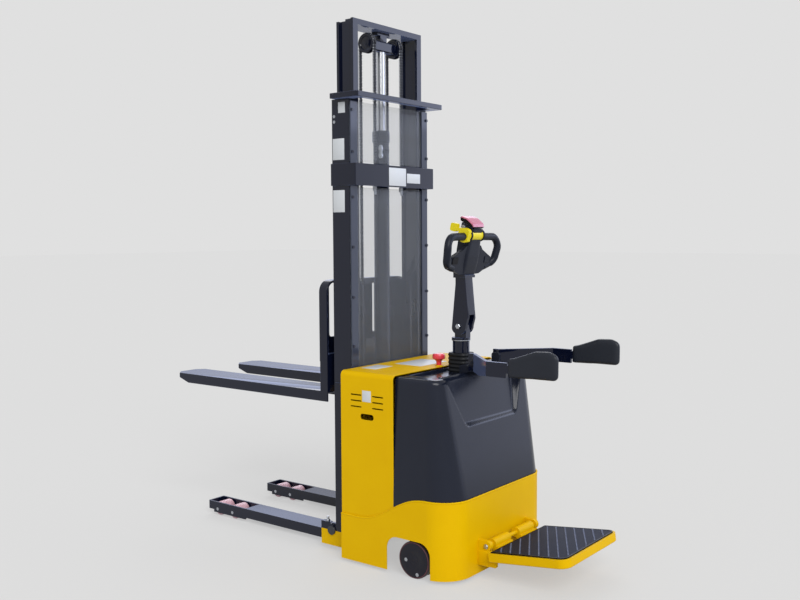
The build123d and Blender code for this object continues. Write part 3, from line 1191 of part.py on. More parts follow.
for side_name, side in SIDES:
    swivel_y = side * CASTER_Y
    axle_x = ARCH_CENTRE_X + CASTER_TRAIL
    with BuildPart() as caster_fork:
        cheek = [
            (ARCH_CENTRE_X - 24, PAN_Z - 2),
            (ARCH_CENTRE_X + 24, PAN_Z - 2),
            (axle_x + 22, CASTER_R + 10),
            (axle_x + 14, CASTER_R - 18),
            (axle_x - 14, CASTER_R - 18),
            (axle_x - 26, CASTER_R + 10),
        ]
        extrude(side_profile(cheek, swivel_y + CASTER_PLATE_HALF), amount=2 * CASTER_PLATE_HALF)
        post(ARCH_CENTRE_X, swivel_y, (2 * CASTER_R + 1, CASTER_BUSH_TOP_Z), CASTER_STEM_R)
        hole_y = (swivel_y - CASTER_PLATE_HALF - 1, swivel_y + CASTER_PLATE_HALF + 1)
        cross_rod(axle_x, CASTER_R, hole_y, CASTER_AXLE_R + RUN_CLEARANCE, Mode.SUBTRACT)
    save(caster_fork, f"caster_fork_{side_name}")

    with BuildPart() as caster_wheels:
        for half in (-1, 1):
            wheel_y = (swivel_y + half * CASTER_WHEEL[0], swivel_y + half * CASTER_WHEEL[1])
            cross_rod(axle_x, CASTER_R, wheel_y, CASTER_R)
        fillet(caster_wheels.edges().filter_by(GeomType.CIRCLE), 5)
        for half in (-1, 1):
            dish_y = (swivel_y + half * (CASTER_WHEEL[1] - 4), swivel_y + half * CASTER_WHEEL[1])
            cross_rod(axle_x, CASTER_R, dish_y, CASTER_R * 0.7, Mode.SUBTRACT)
        axle_half = CASTER_WHEEL[1] - 1
        cross_rod(axle_x, CASTER_R, (swivel_y - axle_half, swivel_y + axle_half), CASTER_AXLE_R)
    save(caster_wheels, f"caster_wheels_{side_name}")

# Folding platform

TILT_COS = cos(radians(PLATFORM_TILT))
TILT_SIN = sin(radians(PLATFORM_TILT))
DECK = Plane((HINGE_X, 0, HINGE_Z), x_dir=(TILT_COS, 0, TILT_SIN), z_dir=(-TILT_SIN, 0, TILT_COS))
PLATFORM_LENGTH = (PLATFORM_END_X - HINGE_X - (PLATFORM_DROP + PLATFORM_DEPTH) * TILT_SIN) / TILT_COS


def deck_outline(inset, height):
    """Plan outline of the platform, drawn in by inset: round at the two outer corners."""
    start = PLATFORM_START + inset
    end = PLATFORM_LENGTH - inset
    with BuildSketch(DECK.offset(height)) as outline:
        with Locations(((start + end) / 2, 0)):
            Rectangle(end - start, 2 * (PLATFORM_HALF - inset))
        fillet(outline.vertices().group_by(Axis.X)[-1], PLATFORM_CORNER_R - inset)
        fillet(outline.vertices().group_by(Axis.X)[0], 6)
    return outline.sketch


with BuildPart() as platform_hinge:
    for _, side in SIDES:
        lug = [
            (BODY_REAR_X, LUG_FOOT_Z),
            (BODY_REAR_X + 12, LUG_FOOT_Z),
            (HINGE_X + 12, HINGE_Z - 20),
            (HINGE_X + 12, HINGE_Z),
            (HINGE_X, HINGE_Z + BARREL_OUT_R),
            (BODY_REAR_X, HINGE_Z + BARREL_OUT_R),
        ]
        low, high = sorted(span(side, LUG_Y))
        extrude(side_profile(lug, high), amount=high - low)
        cross_rod(HINGE_X, HINGE_Z, (low, high), BARREL_OUT_R)
    cross_rod(HINGE_X, HINGE_Z, across(LUG_Y[1] + 5), HINGE_PIN_R)
save(platform_hinge, "platform_hinge")

with BuildPart() as platform_frame:
    extrude(deck_outline(0, -PLATFORM_DROP), amount=-PLATFORM_DEPTH)
    chamfer(platform_frame.faces().sort_by(Axis.Z)[0].edges().sort_by(Axis.X)[2:], 4)
    extrude(deck_outline(MAT_BORDER, -PLATFORM_DROP), amount=-MAT_THICK, mode=Mode.SUBTRACT)
    hollow_top = -PLATFORM_DROP - MAT_THICK - PLATFORM_WALL
    extrude(deck_outline(PLATFORM_WALL, hollow_top), amount=-PLATFORM_DEPTH, mode=Mode.SUBTRACT)
    for _, side in SIDES:
        low, high = sorted(span(side, BARREL_Y))
        cross_rod(HINGE_X, HINGE_Z, (low, high), BARREL_OUT_R)
        with BuildSketch(DECK.offset(-STRAP[0])) as strap:
            with Locations(((PLATFORM_START + 2) / 2, (low + high) / 2)):
                Rectangle(PLATFORM_START + 2, high - low)
        extrude(amount=-STRAP[1])
    bore_y = across(BARREL_Y[1] + 1)
    cross_rod(HINGE_X, HINGE_Z, bore_y, HINGE_PIN_R + RUN_CLEARANCE, Mode.SUBTRACT)
save(platform_frame, "platform_frame")

with BuildPart() as platform_mat:
    extrude(deck_outline(MAT_BORDER, -PLATFORM_DROP - MAT_THICK), amount=MAT_THICK)
save(platform_mat, "platform_mat")

# Battery, hydraulic power unit and motor controller under the covers

with BuildPart() as battery_pack:
    block(BATTERY_X, across(BATTERY_HALF), BATTERY_Z)
    chamfer(battery_pack.edges().filter_by(Axis.Z), 6)
    battery_mid = sum(BATTERY_X) / 2
    with BuildSketch(Plane.XY.offset(BATTERY_Z[1])) as cell_caps:
        with Locations((battery_mid, 0)):
            with GridLocations(*CELL_PITCH, 2, 6):
                Circle(CELL_CAP_R)
    extrude(amount=10)
save(battery_pack, "battery_pack")

PAN_TOP_Z = PAN_Z + PLATE

with BuildPart() as hydraulic_power_unit:
    block(OIL_TANK_X, OIL_TANK_Y, (PAN_TOP_Z, OIL_TANK_TOP_Z))
    fillet(hydraulic_power_unit.edges().filter_by(Axis.Z), 12)
    post(*PUMP_MOTOR, (OIL_TANK_TOP_Z, PUMP_MOTOR_TOP_Z), PUMP_MOTOR_R)
    block(VALVE_BLOCK_X, VALVE_BLOCK_Y, (OIL_TANK_TOP_Z, VALVE_BLOCK_TOP_Z))
    valve_mid = (sum(VALVE_BLOCK_X) / 2, sum(VALVE_BLOCK_Y) / 2)
    post(*valve_mid, (VALVE_BLOCK_TOP_Z, VALVE_BLOCK_TOP_Z + 30), 14)
save(hydraulic_power_unit, "hydraulic_power_unit")

with BuildPart() as motor_controller:
    block(CONTROLLER_X, CONTROLLER_Y, (PAN_TOP_Z, PAN_TOP_Z + CONTROLLER_HEIGHT))
    fillet(motor_controller.edges().filter_by(Axis.Z), 6)
    with BuildSketch(Plane.XY.offset(PAN_TOP_Z + CONTROLLER_HEIGHT)) as terminals:
        with Locations((sum(CONTROLLER_X) / 2, sum(CONTROLLER_Y) / 2)):
            with GridLocations(*TERMINAL_PITCH, 4, 2):
                Circle(TERMINAL_R)
    extrude(amount=18)
save(motor_controller, "motor_controller")
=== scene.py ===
import logging
from dataclasses import dataclass, field
from enum import Enum
from math import cos, pi, radians, sin
from typing import Any, Iterable, Sequence

import bmesh
import bpy
import numpy as np
from mathutils import Matrix


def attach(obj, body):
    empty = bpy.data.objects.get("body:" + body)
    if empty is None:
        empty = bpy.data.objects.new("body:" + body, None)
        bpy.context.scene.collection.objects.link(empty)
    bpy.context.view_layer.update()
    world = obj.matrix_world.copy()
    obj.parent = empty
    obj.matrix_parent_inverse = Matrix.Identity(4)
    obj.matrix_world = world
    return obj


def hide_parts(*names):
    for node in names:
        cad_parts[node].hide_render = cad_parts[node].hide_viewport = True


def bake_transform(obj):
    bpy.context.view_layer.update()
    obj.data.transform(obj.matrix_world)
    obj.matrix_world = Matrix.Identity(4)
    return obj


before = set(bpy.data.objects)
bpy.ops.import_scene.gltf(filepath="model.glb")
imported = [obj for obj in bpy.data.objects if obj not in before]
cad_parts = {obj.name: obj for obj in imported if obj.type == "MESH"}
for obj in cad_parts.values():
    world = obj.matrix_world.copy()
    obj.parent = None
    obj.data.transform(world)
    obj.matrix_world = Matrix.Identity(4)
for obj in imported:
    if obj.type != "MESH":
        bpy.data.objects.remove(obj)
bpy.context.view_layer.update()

Array = np.ndarray
Faces = list[tuple[int, ...]]
Point = Sequence[float]
Pair = tuple[float, float]
Triple = tuple[float, float, float]
Quad = tuple[float, float, float, float]
# Pairs of radius and height, in millimetres.
Profile = tuple[Pair, ...]
Piece = bpy.types.Object
Tree = bpy.types.NodeTree
Socket = bpy.types.NodeSocket

MM = 0.001
# Directions: from the forks to the operator, to the operator's right, and up.
ALONG: Triple = (1.0, 0.0, 0.0)
ACROSS: Triple = (0.0, 1.0, 0.0)
UP: Triple = (0.0, 0.0, 1.0)
# Points nearer than the first are one point, and edges shorter than the second are dropped, in metres.
WELD = 2e-6
SPECK = 1e-6
# The angle in degrees above which an edge stays sharp: on steel, mouldings, shells and soft pieces.
SHARP = 32.0
SHARP_MOULDED = 40.0
SHARP_SHELL = 50.0
SHARP_SOFT = 60.0
# Angles in degrees: an edge above the first is rounded off, and one below the second counts as flat.
ROUNDED = 35.0
FLAT = 0.5
# How far a blank plate sinks into its face and stands off it, and how round its edges are, in millimetres.
PLATE_SUNK = 0.4
PLATE_PROUD = 0.8
PLATE_ROUND = 0.4
# A bolt head's upright flank as a share of its height, and its crown as a share of its radius.
HEAD_FLANK = 0.8
HEAD_CROWN = 0.86
# The radius at which a turned profile closes on its axis, in millimetres.
POLE = 0.01
# Turns a ring a little, so that none of its points lies on an axis.
HAIR = 1e-4
# The part of a noise's range that gloss and tone spread over, as inputs of Map Range.
GLOSS_SPAN = {"i1": 0.2, "i2": 0.8}
TONE_SPAN = {"i1": 0.3, "i2": 0.7}
LOG = logging.getLogger("stacker")


class Side(Enum):
    """The operator's two hands: the sign of Y on each side."""

    LEFT = -1
    RIGHT = 1

    @property
    def word(self) -> str:
        """The side's name as the nodes spell it."""
        return self.name.lower()

    @property
    def outward(self) -> Triple:
        """The direction from the machine's middle to this side."""
        return (0.0, float(self.value), 0.0)


# Surfaces


@dataclass
class Surface:
    """Points in millimetres with the faces that join them."""

    points: Array
    faces: Faces

    def __add__(self, other: "Surface") -> "Surface":
        """Two surfaces as one, still separate shells."""
        return joined([self, other])


def joined(shapes: Iterable[Surface]) -> Surface:
    """Several surfaces as one, still separate shells.

    Args:
        shapes: The surfaces.

    Returns:
        The surface that holds them all.
    """
    points, faces, shift = [], [], 0
    for shape in shapes:
        points.append(shape.points)
        faces += [tuple(i + shift for i in face) for face in shape.faces]
        shift += len(shape.points)
    return Surface(np.concatenate(points), faces)


def skin(grid: Array, wrap: bool = True, caps: bool = True) -> Surface:
    """Joins a grid of points, rows by columns, with four-sided faces.

    Args:
        grid: Points in an array of rows, columns and three coordinates.
        wrap: Whether the last column joins the first.
        caps: Whether the first and last rows are closed by one face each.

    Returns:
        The surface.
    """
    rows, columns = grid.shape[:2]
    row, column = np.meshgrid(np.arange(rows - 1), np.arange(columns if wrap else columns - 1), indexing="ij")
    after = (column + 1) % columns
    near, far = row * columns, (row + 1) * columns
    corners = np.stack([near + column, near + after, far + after, far + column], -1)
    faces = [tuple(face) for face in corners.reshape(-1, 4).tolist()]
    if caps:
        faces.append(tuple(range(columns - 1, -1, -1)))
        faces.append(tuple(range((rows - 1) * columns, rows * columns)))
    return Surface(grid.reshape(-1, 3), faces)


def basis(axis: Point) -> Array:
    """Two directions square to an axis, and the axis: the rows of a turning matrix.

    Args:
        axis: The axis's direction, of any length.

    Returns:
        The three directions as rows.
    """
    along = np.asarray(axis, float) / np.linalg.norm(axis)
    helper = np.array([0.0, 0.0, 1.0]) if abs(along[2]) < 0.9 else np.array([1.0, 0.0, 0.0])
    first = np.cross(helper, along)
    first /= np.linalg.norm(first)
    return np.stack([first, np.cross(along, first), along])


def tangents(path: Array) -> Array:
    """The direction along a path at each of its points, of length one."""
    along = np.gradient(path, axis=0)
    return along / np.linalg.norm(along, axis=1, keepdims=True)


def turned(profile: Sequence[Point], centre: Point, axis: Point, sides: int) -> Surface:
    """A profile of radius and height turned about an axis: (r cos t, r sin t, h) in the axis's directions.

    Args:
        profile: Pairs of radius and height, in order along the outline.
        centre: The point on the axis at height nought.
        axis: The axis's direction.
        sides: How many steps make one turn.

    Returns:
        The closed surface.
    """
    radius, height = np.asarray(profile, float).T[:, :, None]
    turn = np.linspace(0, 2 * pi, sides, endpoint=False)
    local = np.stack(np.broadcast_arrays(radius * np.cos(turn), radius * np.sin(turn), height), -1)
    return skin(local @ basis(axis) + np.asarray(centre, float))


def mirrored(half: Sequence[Pair]) -> list[Pair]:
    """A closed profile with two like ends, made of one half: (r, -h) in order, then (r, h) reversed."""
    whole = [(radius, -height) for radius, height in half] + list(half[::-1])
    return whole + whole[:1]


def carried(path: Array, radius: float, across: Point, sides: int) -> Surface:
    """A circle carried along a path in one plane: p + r (n cos t + b sin t), b square to that plane.

    Args:
        path: Points along the middle of the tube.
        radius: The tube's radius.
        across: The direction square to the path's plane.
        sides: How many steps make the circle.

    Returns:
        The tube, closed at both ends.
    """
    beside = np.cross(np.asarray(across, float), tangents(path))
    turn = np.linspace(0, 2 * pi, sides, endpoint=False)[None, :, None]
    ring = beside[:, None] * np.cos(turn) + np.asarray(across, float) * np.sin(turn)
    return skin(path[:, None] + radius * ring)


def rounded_path(corners: Sequence[Point], radii: Point, steps: int) -> Array:
    """Straight runs joined by tangent arcs, as points in the plane of the corners.

    Args:
        corners: The route's corner points.
        radii: One radius for each inner corner.
        steps: How many points each arc has.

    Returns:
        The points along the path.
    """
    route = np.asarray(corners, float)
    pieces = [route[:1]]
    for before, corner, after, radius in zip(route, route[1:], route[2:], radii):
        inward = (before - corner) / np.linalg.norm(before - corner)
        outward = (after - corner) / np.linalg.norm(after - corner)
        half = np.arccos(np.clip(inward @ outward, -1, 1)) / 2
        middle = (inward + outward) / np.linalg.norm(inward + outward)
        centre = corner + middle * radius / np.sin(half)
        first = corner + inward * radius / np.tan(half) - centre
        sweep = np.linspace(0, pi - 2 * half, steps)[:, None]
        pieces.append(centre + first * np.cos(sweep) - inward * radius * np.sin(sweep))
    pieces.append(route[-1:])
    return np.concatenate(pieces)


def rounded_box(low: Point, high: Point, radius: float, steps: int = 3) -> Surface:
    """A box with round edges and corners: each corner's centre plus the radius along a sphere's direction.

    Args:
        low: The lowest corner.
        high: The highest corner.
        radius: The radius of its edges.
        steps: How many faces round a quarter turn has.

    Returns:
        The closed surface.
    """
    quarter = np.linspace(0, pi / 2, steps + 1)
    turn = np.concatenate([quarter + k * pi / 2 for k in range(4)])
    rise = np.concatenate([quarter - pi / 2, quarter])
    signs = ([1, -1, -1, 1], [1, 1, -1, -1], [-1, 1])
    sign_x, sign_y, sign_z = (np.repeat(ends, steps + 1) for ends in signs)
    low, high = np.asarray(low, float), np.asarray(high, float)
    half, middle = (high - low) / 2, (high + low) / 2
    x = sign_x * (half[0] - radius) + radius * np.cos(turn) * np.cos(rise)[:, None]
    y = sign_y * (half[1] - radius) + radius * np.sin(turn) * np.cos(rise)[:, None]
    z = (sign_z * (half[2] - radius) + radius * np.sin(rise))[:, None]
    return skin(middle + np.stack(np.broadcast_arrays(x, y, z), -1))


def squared_ring(steps: int, first_power: float, second_power: float) -> tuple[Array, Array]:
    """Cosine and sine round one turn, each to a power below one that keeps its sign: a rounded rectangle.

    Args:
        steps: How many points the ring has.
        first_power: The power of the cosine.
        second_power: The power of the sine.

    Returns:
        The two coordinates round the ring.
    """
    turn = np.linspace(0, 2 * pi, steps, endpoint=False) + HAIR
    first, second = np.cos(turn), np.sin(turn)
    return np.sign(first) * np.abs(first) ** first_power, np.sign(second) * np.abs(second) ** second_power


def stamped(shape: Surface, places: Array, turns: Array | None = None) -> Surface:
    """Copies of one shape at many places, each turned by its own matrix.

    Args:
        shape: The shape, about the origin.
        places: Where each copy goes.
        turns: One turning matrix for each copy, or none.

    Returns:
        All copies as one surface.
    """
    copies = shape.points[None] if turns is None else shape.points @ turns
    points = copies + places[:, None]
    shifts = np.arange(len(places)) * len(shape.points)
    faces = [tuple(i + shift for i in face) for shift in shifts.tolist() for face in shape.faces]
    return Surface(points.reshape(-1, 3), faces)


def hex_heads(places: Sequence[Point], axis: Point, across: float, height: float) -> Surface:
    """Hexagon bolt heads with a chamfered crown, standing on their places along an axis.

    Args:
        places: Where each head stands.
        axis: The way that the heads point.
        across: The size across flats.
        height: The height of a head.

    Returns:
        The heads.
    """
    radius = across / 3**0.5
    profile = [(radius, 0), (radius, HEAD_FLANK * height), (HEAD_CROWN * radius, height)]
    return stamped(turned(profile, (0, 0, 0), axis, sides=6), np.asarray(places, float))


def smooth_least(first: Array, second: Array, width: float) -> Array:
    """The smaller of two arrays, with the crease between them rounded over a width."""
    share = np.clip(0.5 + 0.5 * (second - first) / width, 0, 1)
    return second + (first - second) * share - width * share * (1 - share)


def smooth_step(value: Array, start: float, end: float) -> Array:
    """Rises from nought to one between start and end, level at both: 3t^2 - 2t^3."""
    share = np.clip((value - start) / (end - start), 0, 1)
    return share * share * (3 - 2 * share)


# Finishes


def linear(code: str) -> Quad:
    """An sRGB hex colour as linear red, green, blue and full alpha.

    Args:
        code: The colour, as a hash sign and six digits.

    Returns:
        The four values.
    """
    value = np.array([int(code[i : i + 2], 16) for i in (1, 3, 5)]) / 255
    bright = np.where(value <= 0.04045, value / 12.92, ((value + 0.055) / 1.055) ** 2.4)
    return (*bright.tolist(), 1.0)


def add_node(tree: Tree, kind: str, settings: dict[str, Any] | None = None, **inputs: Any) -> Any:
    """Adds a node to a tree.

    Args:
        tree: The node tree.
        kind: The node's type name.
        settings: Properties of the node itself.
        **inputs: Values or sockets for its inputs: an underscore stands for a space, and an i leads a number.

    Returns:
        The new node.
    """
    node = tree.nodes.new(kind)
    for name, value in (settings or {}).items():
        setattr(node, name, value)
    for name, value in inputs.items():
        key = int(name[1:]) if name[0] == "i" and name[1:].isdigit() else name.replace("_", " ")
        if isinstance(value, Socket):
            tree.links.new(value, node.inputs[key])
        else:
            node.inputs[key].default_value = value
    return node


@dataclass(frozen=True)
class Finish:
    """What one material shows: its colour, its gloss, and the size and depth of its surface texture."""

    name: str
    colour: str
    second: str
    roughness: float
    metallic: float = 0.0
    specular: float = 0.5
    coat: float = 0.0
    coat_roughness: float = 0.14
    sheen: float = 0.0
    sheen_tint: str = "#FFFFFF"
    sheen_roughness: float = 0.3
    grain_mm: float = 3.0
    grain_depth_mm: float = 0.05
    grain_strength: float = 0.6
    gloss_drift: float = 0.12
    tone_mm: float = 120.0
    tone_share: float = 0.35
    stretch: Triple = (1.0, 1.0, 1.0)
    edge: str = ""
    edge_share: float = 0.0
    edge_mm: float = 1.5
    edge_bend: Pair = (0.98, 0.8)
    alpha: float = 1.0
    mark: str = ""

    def build(self) -> bpy.types.Material:
        """Makes the material: a tone that drifts over the surface, a fine bump, uneven gloss, edges of wear
        and painted highlight.

        Returns:
            The material.
        """
        material = bpy.data.materials.new(self.name)
        material.use_nodes = True
        tree = material.node_tree
        tree.nodes.clear()
        place = add_node(tree, "ShaderNodeTexCoord").outputs["Object"]
        drawn = add_node(tree, "ShaderNodeMapping", Vector=place, Scale=self.stretch).outputs["Vector"]
        broad = add_node(tree, "ShaderNodeTexNoise", Vector=place, Scale=1000 / self.tone_mm, Detail=3.0)
        fine = add_node(tree, "ShaderNodeTexNoise", Vector=drawn, Scale=1000 / self.grain_mm, Detail=2.0)
        least = (1 - self.gloss_drift) * self.roughness
        most = min(1.0, (1 + self.gloss_drift) * self.roughness)
        ends = {"i3": least, "i4": most}
        gloss = add_node(tree, "ShaderNodeMapRange", Value=fine.outputs["Fac"], **GLOSS_SPAN, **ends)
        dents = {}
        if self.grain_depth_mm:
            dents["Normal"] = add_node(
                tree,
                "ShaderNodeBump",
                Strength=self.grain_strength,
                Distance=self.grain_depth_mm * MM,
                Height=fine.outputs["Fac"],
            ).outputs[0]
        shader = add_node(
            tree,
            "ShaderNodeBsdfPrincipled",
            Base_Color=self.tone(tree, broad.outputs["Fac"]),
            Roughness=gloss.outputs[0],
            Metallic=self.metallic,
            Specular_IOR_Level=self.specular,
            Coat_Weight=self.coat,
            Coat_Roughness=self.coat_roughness,
            Sheen_Weight=self.sheen,
            Sheen_Roughness=self.sheen_roughness,
            Sheen_Tint=linear(self.sheen_tint),
            Alpha=self.alpha,
            **dents,
        )
        add_node(tree, "ShaderNodeOutputMaterial", Surface=shader.outputs[0])
        return material

    def tone(self, tree: Tree, broad: Socket) -> Socket:
        """The colour: two shades in drifts, then the edge colour at marks, and at bends as wear and painted
        highlight.

        Args:
            tree: The material's nodes.
            broad: The noise that the drifts follow.

        Returns:
            The socket that gives the colour.
        """
        two = {"data_type": "RGBA"}
        share = add_node(tree, "ShaderNodeMapRange", Value=broad, **TONE_SPAN, i3=0.0, i4=self.tone_share)
        shades = {"i6": linear(self.colour), "i7": linear(self.second)}
        tone = add_node(tree, "ShaderNodeMix", two, i0=share.outputs[0], **shades).outputs[2]
        if not self.edge:
            return tone
        if self.mark:
            shown = add_node(tree, "ShaderNodeAttribute", {"attribute_name": self.mark}).outputs["Fac"]
        else:
            # At bent edges the edge colour is part wear and part painted highlight.
            flat = add_node(tree, "ShaderNodeNewGeometry").outputs["True Normal"]
            round_off = add_node(tree, "ShaderNodeBevel", {"samples": 4}, Radius=self.edge_mm * MM).outputs[0]
            bend = add_node(tree, "ShaderNodeVectorMath", {"operation": "DOT_PRODUCT"}, i0=flat, i1=round_off)
            start, end = self.edge_bend
            reach = {"i1": start, "i2": end, "i3": 0.0, "i4": self.edge_share}
            wear_and_highlight = add_node(tree, "ShaderNodeMapRange", Value=bend.outputs["Value"], **reach).outputs[0]
            shown = add_node(tree, "ShaderNodeMath", {"operation": "MULTIPLY"}, i0=wear_and_highlight, i1=broad).outputs[0]
        return add_node(tree, "ShaderNodeMix", two, i0=shown, i6=tone, i7=linear(self.edge)).outputs[2]


class Paint(Enum):
    """Every finish on the stacker."""

    # Powder coat on sheet steel: even colour, a slight orange peel, a soft sheen.
    YELLOW = Finish(
        "yellow_powder_coat", "#D9AE00", "#D2A300", 0.42, specular=0.06, grain_mm=9, grain_depth_mm=0.03,
        # Paler edges, part wear and part painted highlight.
        edge="#F0D248", edge_share=0.6,
    )
    # Gloss powder coat on hot-rolled steel: near black, it mirrors the room at a low angle.
    # The strips wear a lighter copy of this coat: painted light for their lit faces.
    BLACK = Finish(
        "black_powder_coat", "#050A1E", "#070C22", 0.3, specular=0.0, coat=0.82, coat_roughness=0.08,
        # Greyer edges, part wear and part painted highlight.
        sheen=0.9, sheen_tint="#8FA0D0", grain_mm=9, grain_depth_mm=0.01, edge="#4A5264", edge_share=0.7,
    )
    STRIP = Finish(
        "strip_coat_painted_lit", "#323848", "#3A4050", 0.3, specular=0.0, coat=0.82, coat_roughness=0.08,
        # Lighter edges, part wear and part painted highlight.
        sheen=0.3, sheen_tint="#8FA0D0", grain_mm=9, grain_depth_mm=0.01, edge="#6A7286", edge_share=0.7,
    )
    # Moulded ABS with a polished face: dark blue-grey, broad soft reflections.
    HOOD = Finish(
        "moulded_abs_gloss", "#131826", "#181D2C", 0.2, specular=0.3, grain_mm=40, grain_depth_mm=0.02
    )
    # Moulded nylon with a spark-eroded face. The real grain is near 0.5 mm, drawn at 3 mm so that it shows.
    BLACK_PLASTIC = Finish(
        "moulded_nylon_matt", "#141824", "#1A1E2B", 0.42, specular=0.2, grain_mm=3, grain_depth_mm=0.06
    )
    KEY = Finish(
        "moulded_nylon_key", "#08080C", "#0D0D12", 0.45, specular=0.15, grain_mm=3, grain_depth_mm=0.05
    )
    GREY_PLASTIC = Finish("moulded_nylon_grey", "#8E9198", "#7C8088", 0.35, grain_mm=3)
    # Moulded ABS in signal colours: clean and fairly glossy.
    RED = Finish("moulded_abs_red", "#DC3C4A", "#D03242", 0.28, coat=0.3, grain_mm=20, grain_depth_mm=0.02)
    CAP_RED = Finish(
        "moulded_abs_rose", "#BC6C86", "#B05E7A", 0.32, coat=0.3, grain_mm=14, grain_depth_mm=0.02
    )
    YELLOW_PLASTIC = Finish("moulded_abs_yellow", "#DED012", "#DABC0C", 0.38, specular=0.3, grain_mm=10)
    # Extruded polycarbonate sheet: clear with a cool tint, glossy.
    CLEAR = Finish(
        "clear_polycarbonate", "#83888F", "#898E96", 0.1, grain_mm=400, grain_depth_mm=0.0, alpha=0.17
    )
    # Hard chrome on a ground rod, and zinc-plated steel with a fine satin grain.
    CHROME = Finish(
        "hard_chrome", "#C6C8CC", "#BCBEC3", 0.26, 1.0, grain_mm=2, grain_depth_mm=0.01, stretch=(1, 1, 12)
    )
    STEEL = Finish("zinc_plated_steel", "#B4B8BE", "#9CA0A8", 0.34, 1.0, grain_mm=2, grain_depth_mm=0.03)
    # Leaf chain: rolled plates under a film of oil, dark beside the bright ends of their pins.
    CHAIN = Finish("oiled_chain_steel", "#34363D", "#3E4047", 0.45, 0.3, grain_mm=4)
    CHAIN_PIN = Finish("burnished_pin_steel", "#C2C5CB", "#B2B5BC", 0.4, 0.2, grain_mm=2)
    # Cases of the units under the covers: dull to satin, with the grain of casting or moulding.
    IRON = Finish("grey_cast_iron", "#3C3E42", "#47494D", 0.62, 0.4, grain_mm=4, grain_depth_mm=0.25)
    UNIT = Finish("black_enamel", "#1C1D20", "#26272B", 0.35, coat=0.2, grain_mm=9)
    CELLS = Finish("polypropylene_case", "#34373C", "#3E4146", 0.5, grain_mm=4, grain_depth_mm=0.1)
    CASE = Finish("die_cast_aluminium", "#8E9298", "#7E8288", 0.5, 1.0, grain_mm=3, grain_depth_mm=0.1)
    # Rubber and cast polyurethane: dull, with a bloom of dust.
    RUBBER = Finish(
        "moulded_rubber", "#101216", "#191B20", 0.55, specular=0.25, grain_mm=4, grain_depth_mm=0.1
    )
    MAT = Finish(
        "ribbed_mat_rubber", "#1B2031", "#22283A", 0.55, specular=0.05, grain_mm=3, grain_depth_mm=0.1,
        edge="#747B92", mark="raised",
    )
    ROLLER = Finish("cast_polyurethane_pale", "#C8A0AA", "#BA909C", 0.42, grain_mm=5, grain_depth_mm=0.08)
    WHEEL_RED = Finish("cast_polyurethane_red", "#6E3540", "#602E38", 0.45, grain_mm=5, grain_depth_mm=0.1)
    TREAD = Finish("cast_polyurethane_dark", "#2E2528", "#382C30", 0.5, grain_mm=5, grain_depth_mm=0.1)
    WHEEL_DARK = Finish(
        "moulded_nylon_wheel", "#171720", "#1E1E28", 0.4, specular=0.25, grain_mm=4, grain_depth_mm=0.05
    )
    TYRE = Finish("bonded_tread_rubber", "#202124", "#2C2D30", 0.7, grain_mm=5, grain_depth_mm=0.2)
    # Integral-skin foam: a tight, faintly pebbled skin with a soft sheen.
    FOAM = Finish(
        "integral_skin_foam", "#191D26", "#20242E", 0.42, specular=0.3, grain_mm=3.5, grain_depth_mm=0.15
    )
    # Blank plates of white anodised sheet.
    PLATE = Finish("white_plate", "#C8CCD0", "#BEC2C6", 0.4, grain_mm=6, grain_depth_mm=0.02)


MATERIALS: dict[Paint, bpy.types.Material] = {paint: paint.value.build() for paint in Paint}


# Pieces


def build_piece(name: str, surface: Surface, paint: Paint, sharp_degrees: float = SHARP) -> Piece:
    """Puts a surface into a mesh in metres, facing outwards, with smooth shading between sharp edges.

    Args:
        name: The piece's name.
        surface: Its shape.
        paint: Its finish.
        sharp_degrees: The angle above which an edge stays sharp.

    Returns:
        The object, at the origin.
    """
    mesh = bpy.data.meshes.new(name)
    mesh.from_pydata((surface.points * MM).tolist(), [], surface.faces)
    shape = bmesh.new()
    shape.from_mesh(mesh)
    bmesh.ops.remove_doubles(shape, verts=shape.verts, dist=WELD)
    bmesh.ops.dissolve_degenerate(shape, edges=shape.edges, dist=SPECK)
    bmesh.ops.recalc_face_normals(shape, faces=shape.faces)
    shape.to_mesh(mesh)
    shape.free()
    return finish_mesh(name, mesh, paint, sharp_degrees)


def finish_mesh(name: str, mesh: bpy.types.Mesh, paint: Paint, sharp_degrees: float) -> Piece:
    """Shades a mesh, gives it its material and links its object.

    Args:
        name: The piece's name.
        mesh: Its mesh.
        paint: Its finish.
        sharp_degrees: The angle above which an edge stays sharp.

    Returns:
        The object, at the origin.
    """
    mesh.polygons.foreach_set("use_smooth", np.ones(len(mesh.polygons), bool))
    mesh.set_sharp_from_angle(angle=radians(sharp_degrees))
    mesh.materials.clear()
    mesh.materials.append(MATERIALS[paint])
    piece = bpy.data.objects.new(name, mesh)
    bpy.context.scene.collection.objects.link(piece)
    return piece


def add_bevel(piece: Piece, width_mm: float, segments: int = 2) -> None:
    """Rounds a piece's sharp edges.

    Args:
        piece: The piece.
        width_mm: How wide the rounding is.
        segments: How many faces it has.
    """
    bevel = piece.modifiers.new("eased edges", "BEVEL")
    bevel.width = width_mm * MM
    bevel.segments = segments
    bevel.limit_method = "ANGLE"
    bevel.angle_limit = radians(ROUNDED)
    bevel.harden_normals = True


def settle(piece: Piece, body: str, slot: str, *nodes: str) -> Piece:
    """Rides a piece on its body and hides the nodes that it stands for.

    Args:
        piece: The piece.
        body: The body that carries it.
        slot: Its slot; not used.
        *nodes: The nodes that it stands for.

    Returns:
        The piece.
    """
    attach(piece, body)
    if nodes:
        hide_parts(*nodes)
    LOG.info("%s rides on %s", piece.name, body)
    return piece


def fit(name: str, surface: Surface, paint: Paint, body: str, slot: str, *nodes: str) -> Piece:
    """Builds a piece and settles it on its body."""
    return settle(build_piece(name, surface, paint), body, slot, *nodes)


def plate(name: str, low: Point, high: Point, body: str) -> Piece:
    """A thin blank plate on a face."""
    return fit(name, rounded_box(low, high, PLATE_ROUND, steps=2), Paint.PLATE, body, "black_plastic")


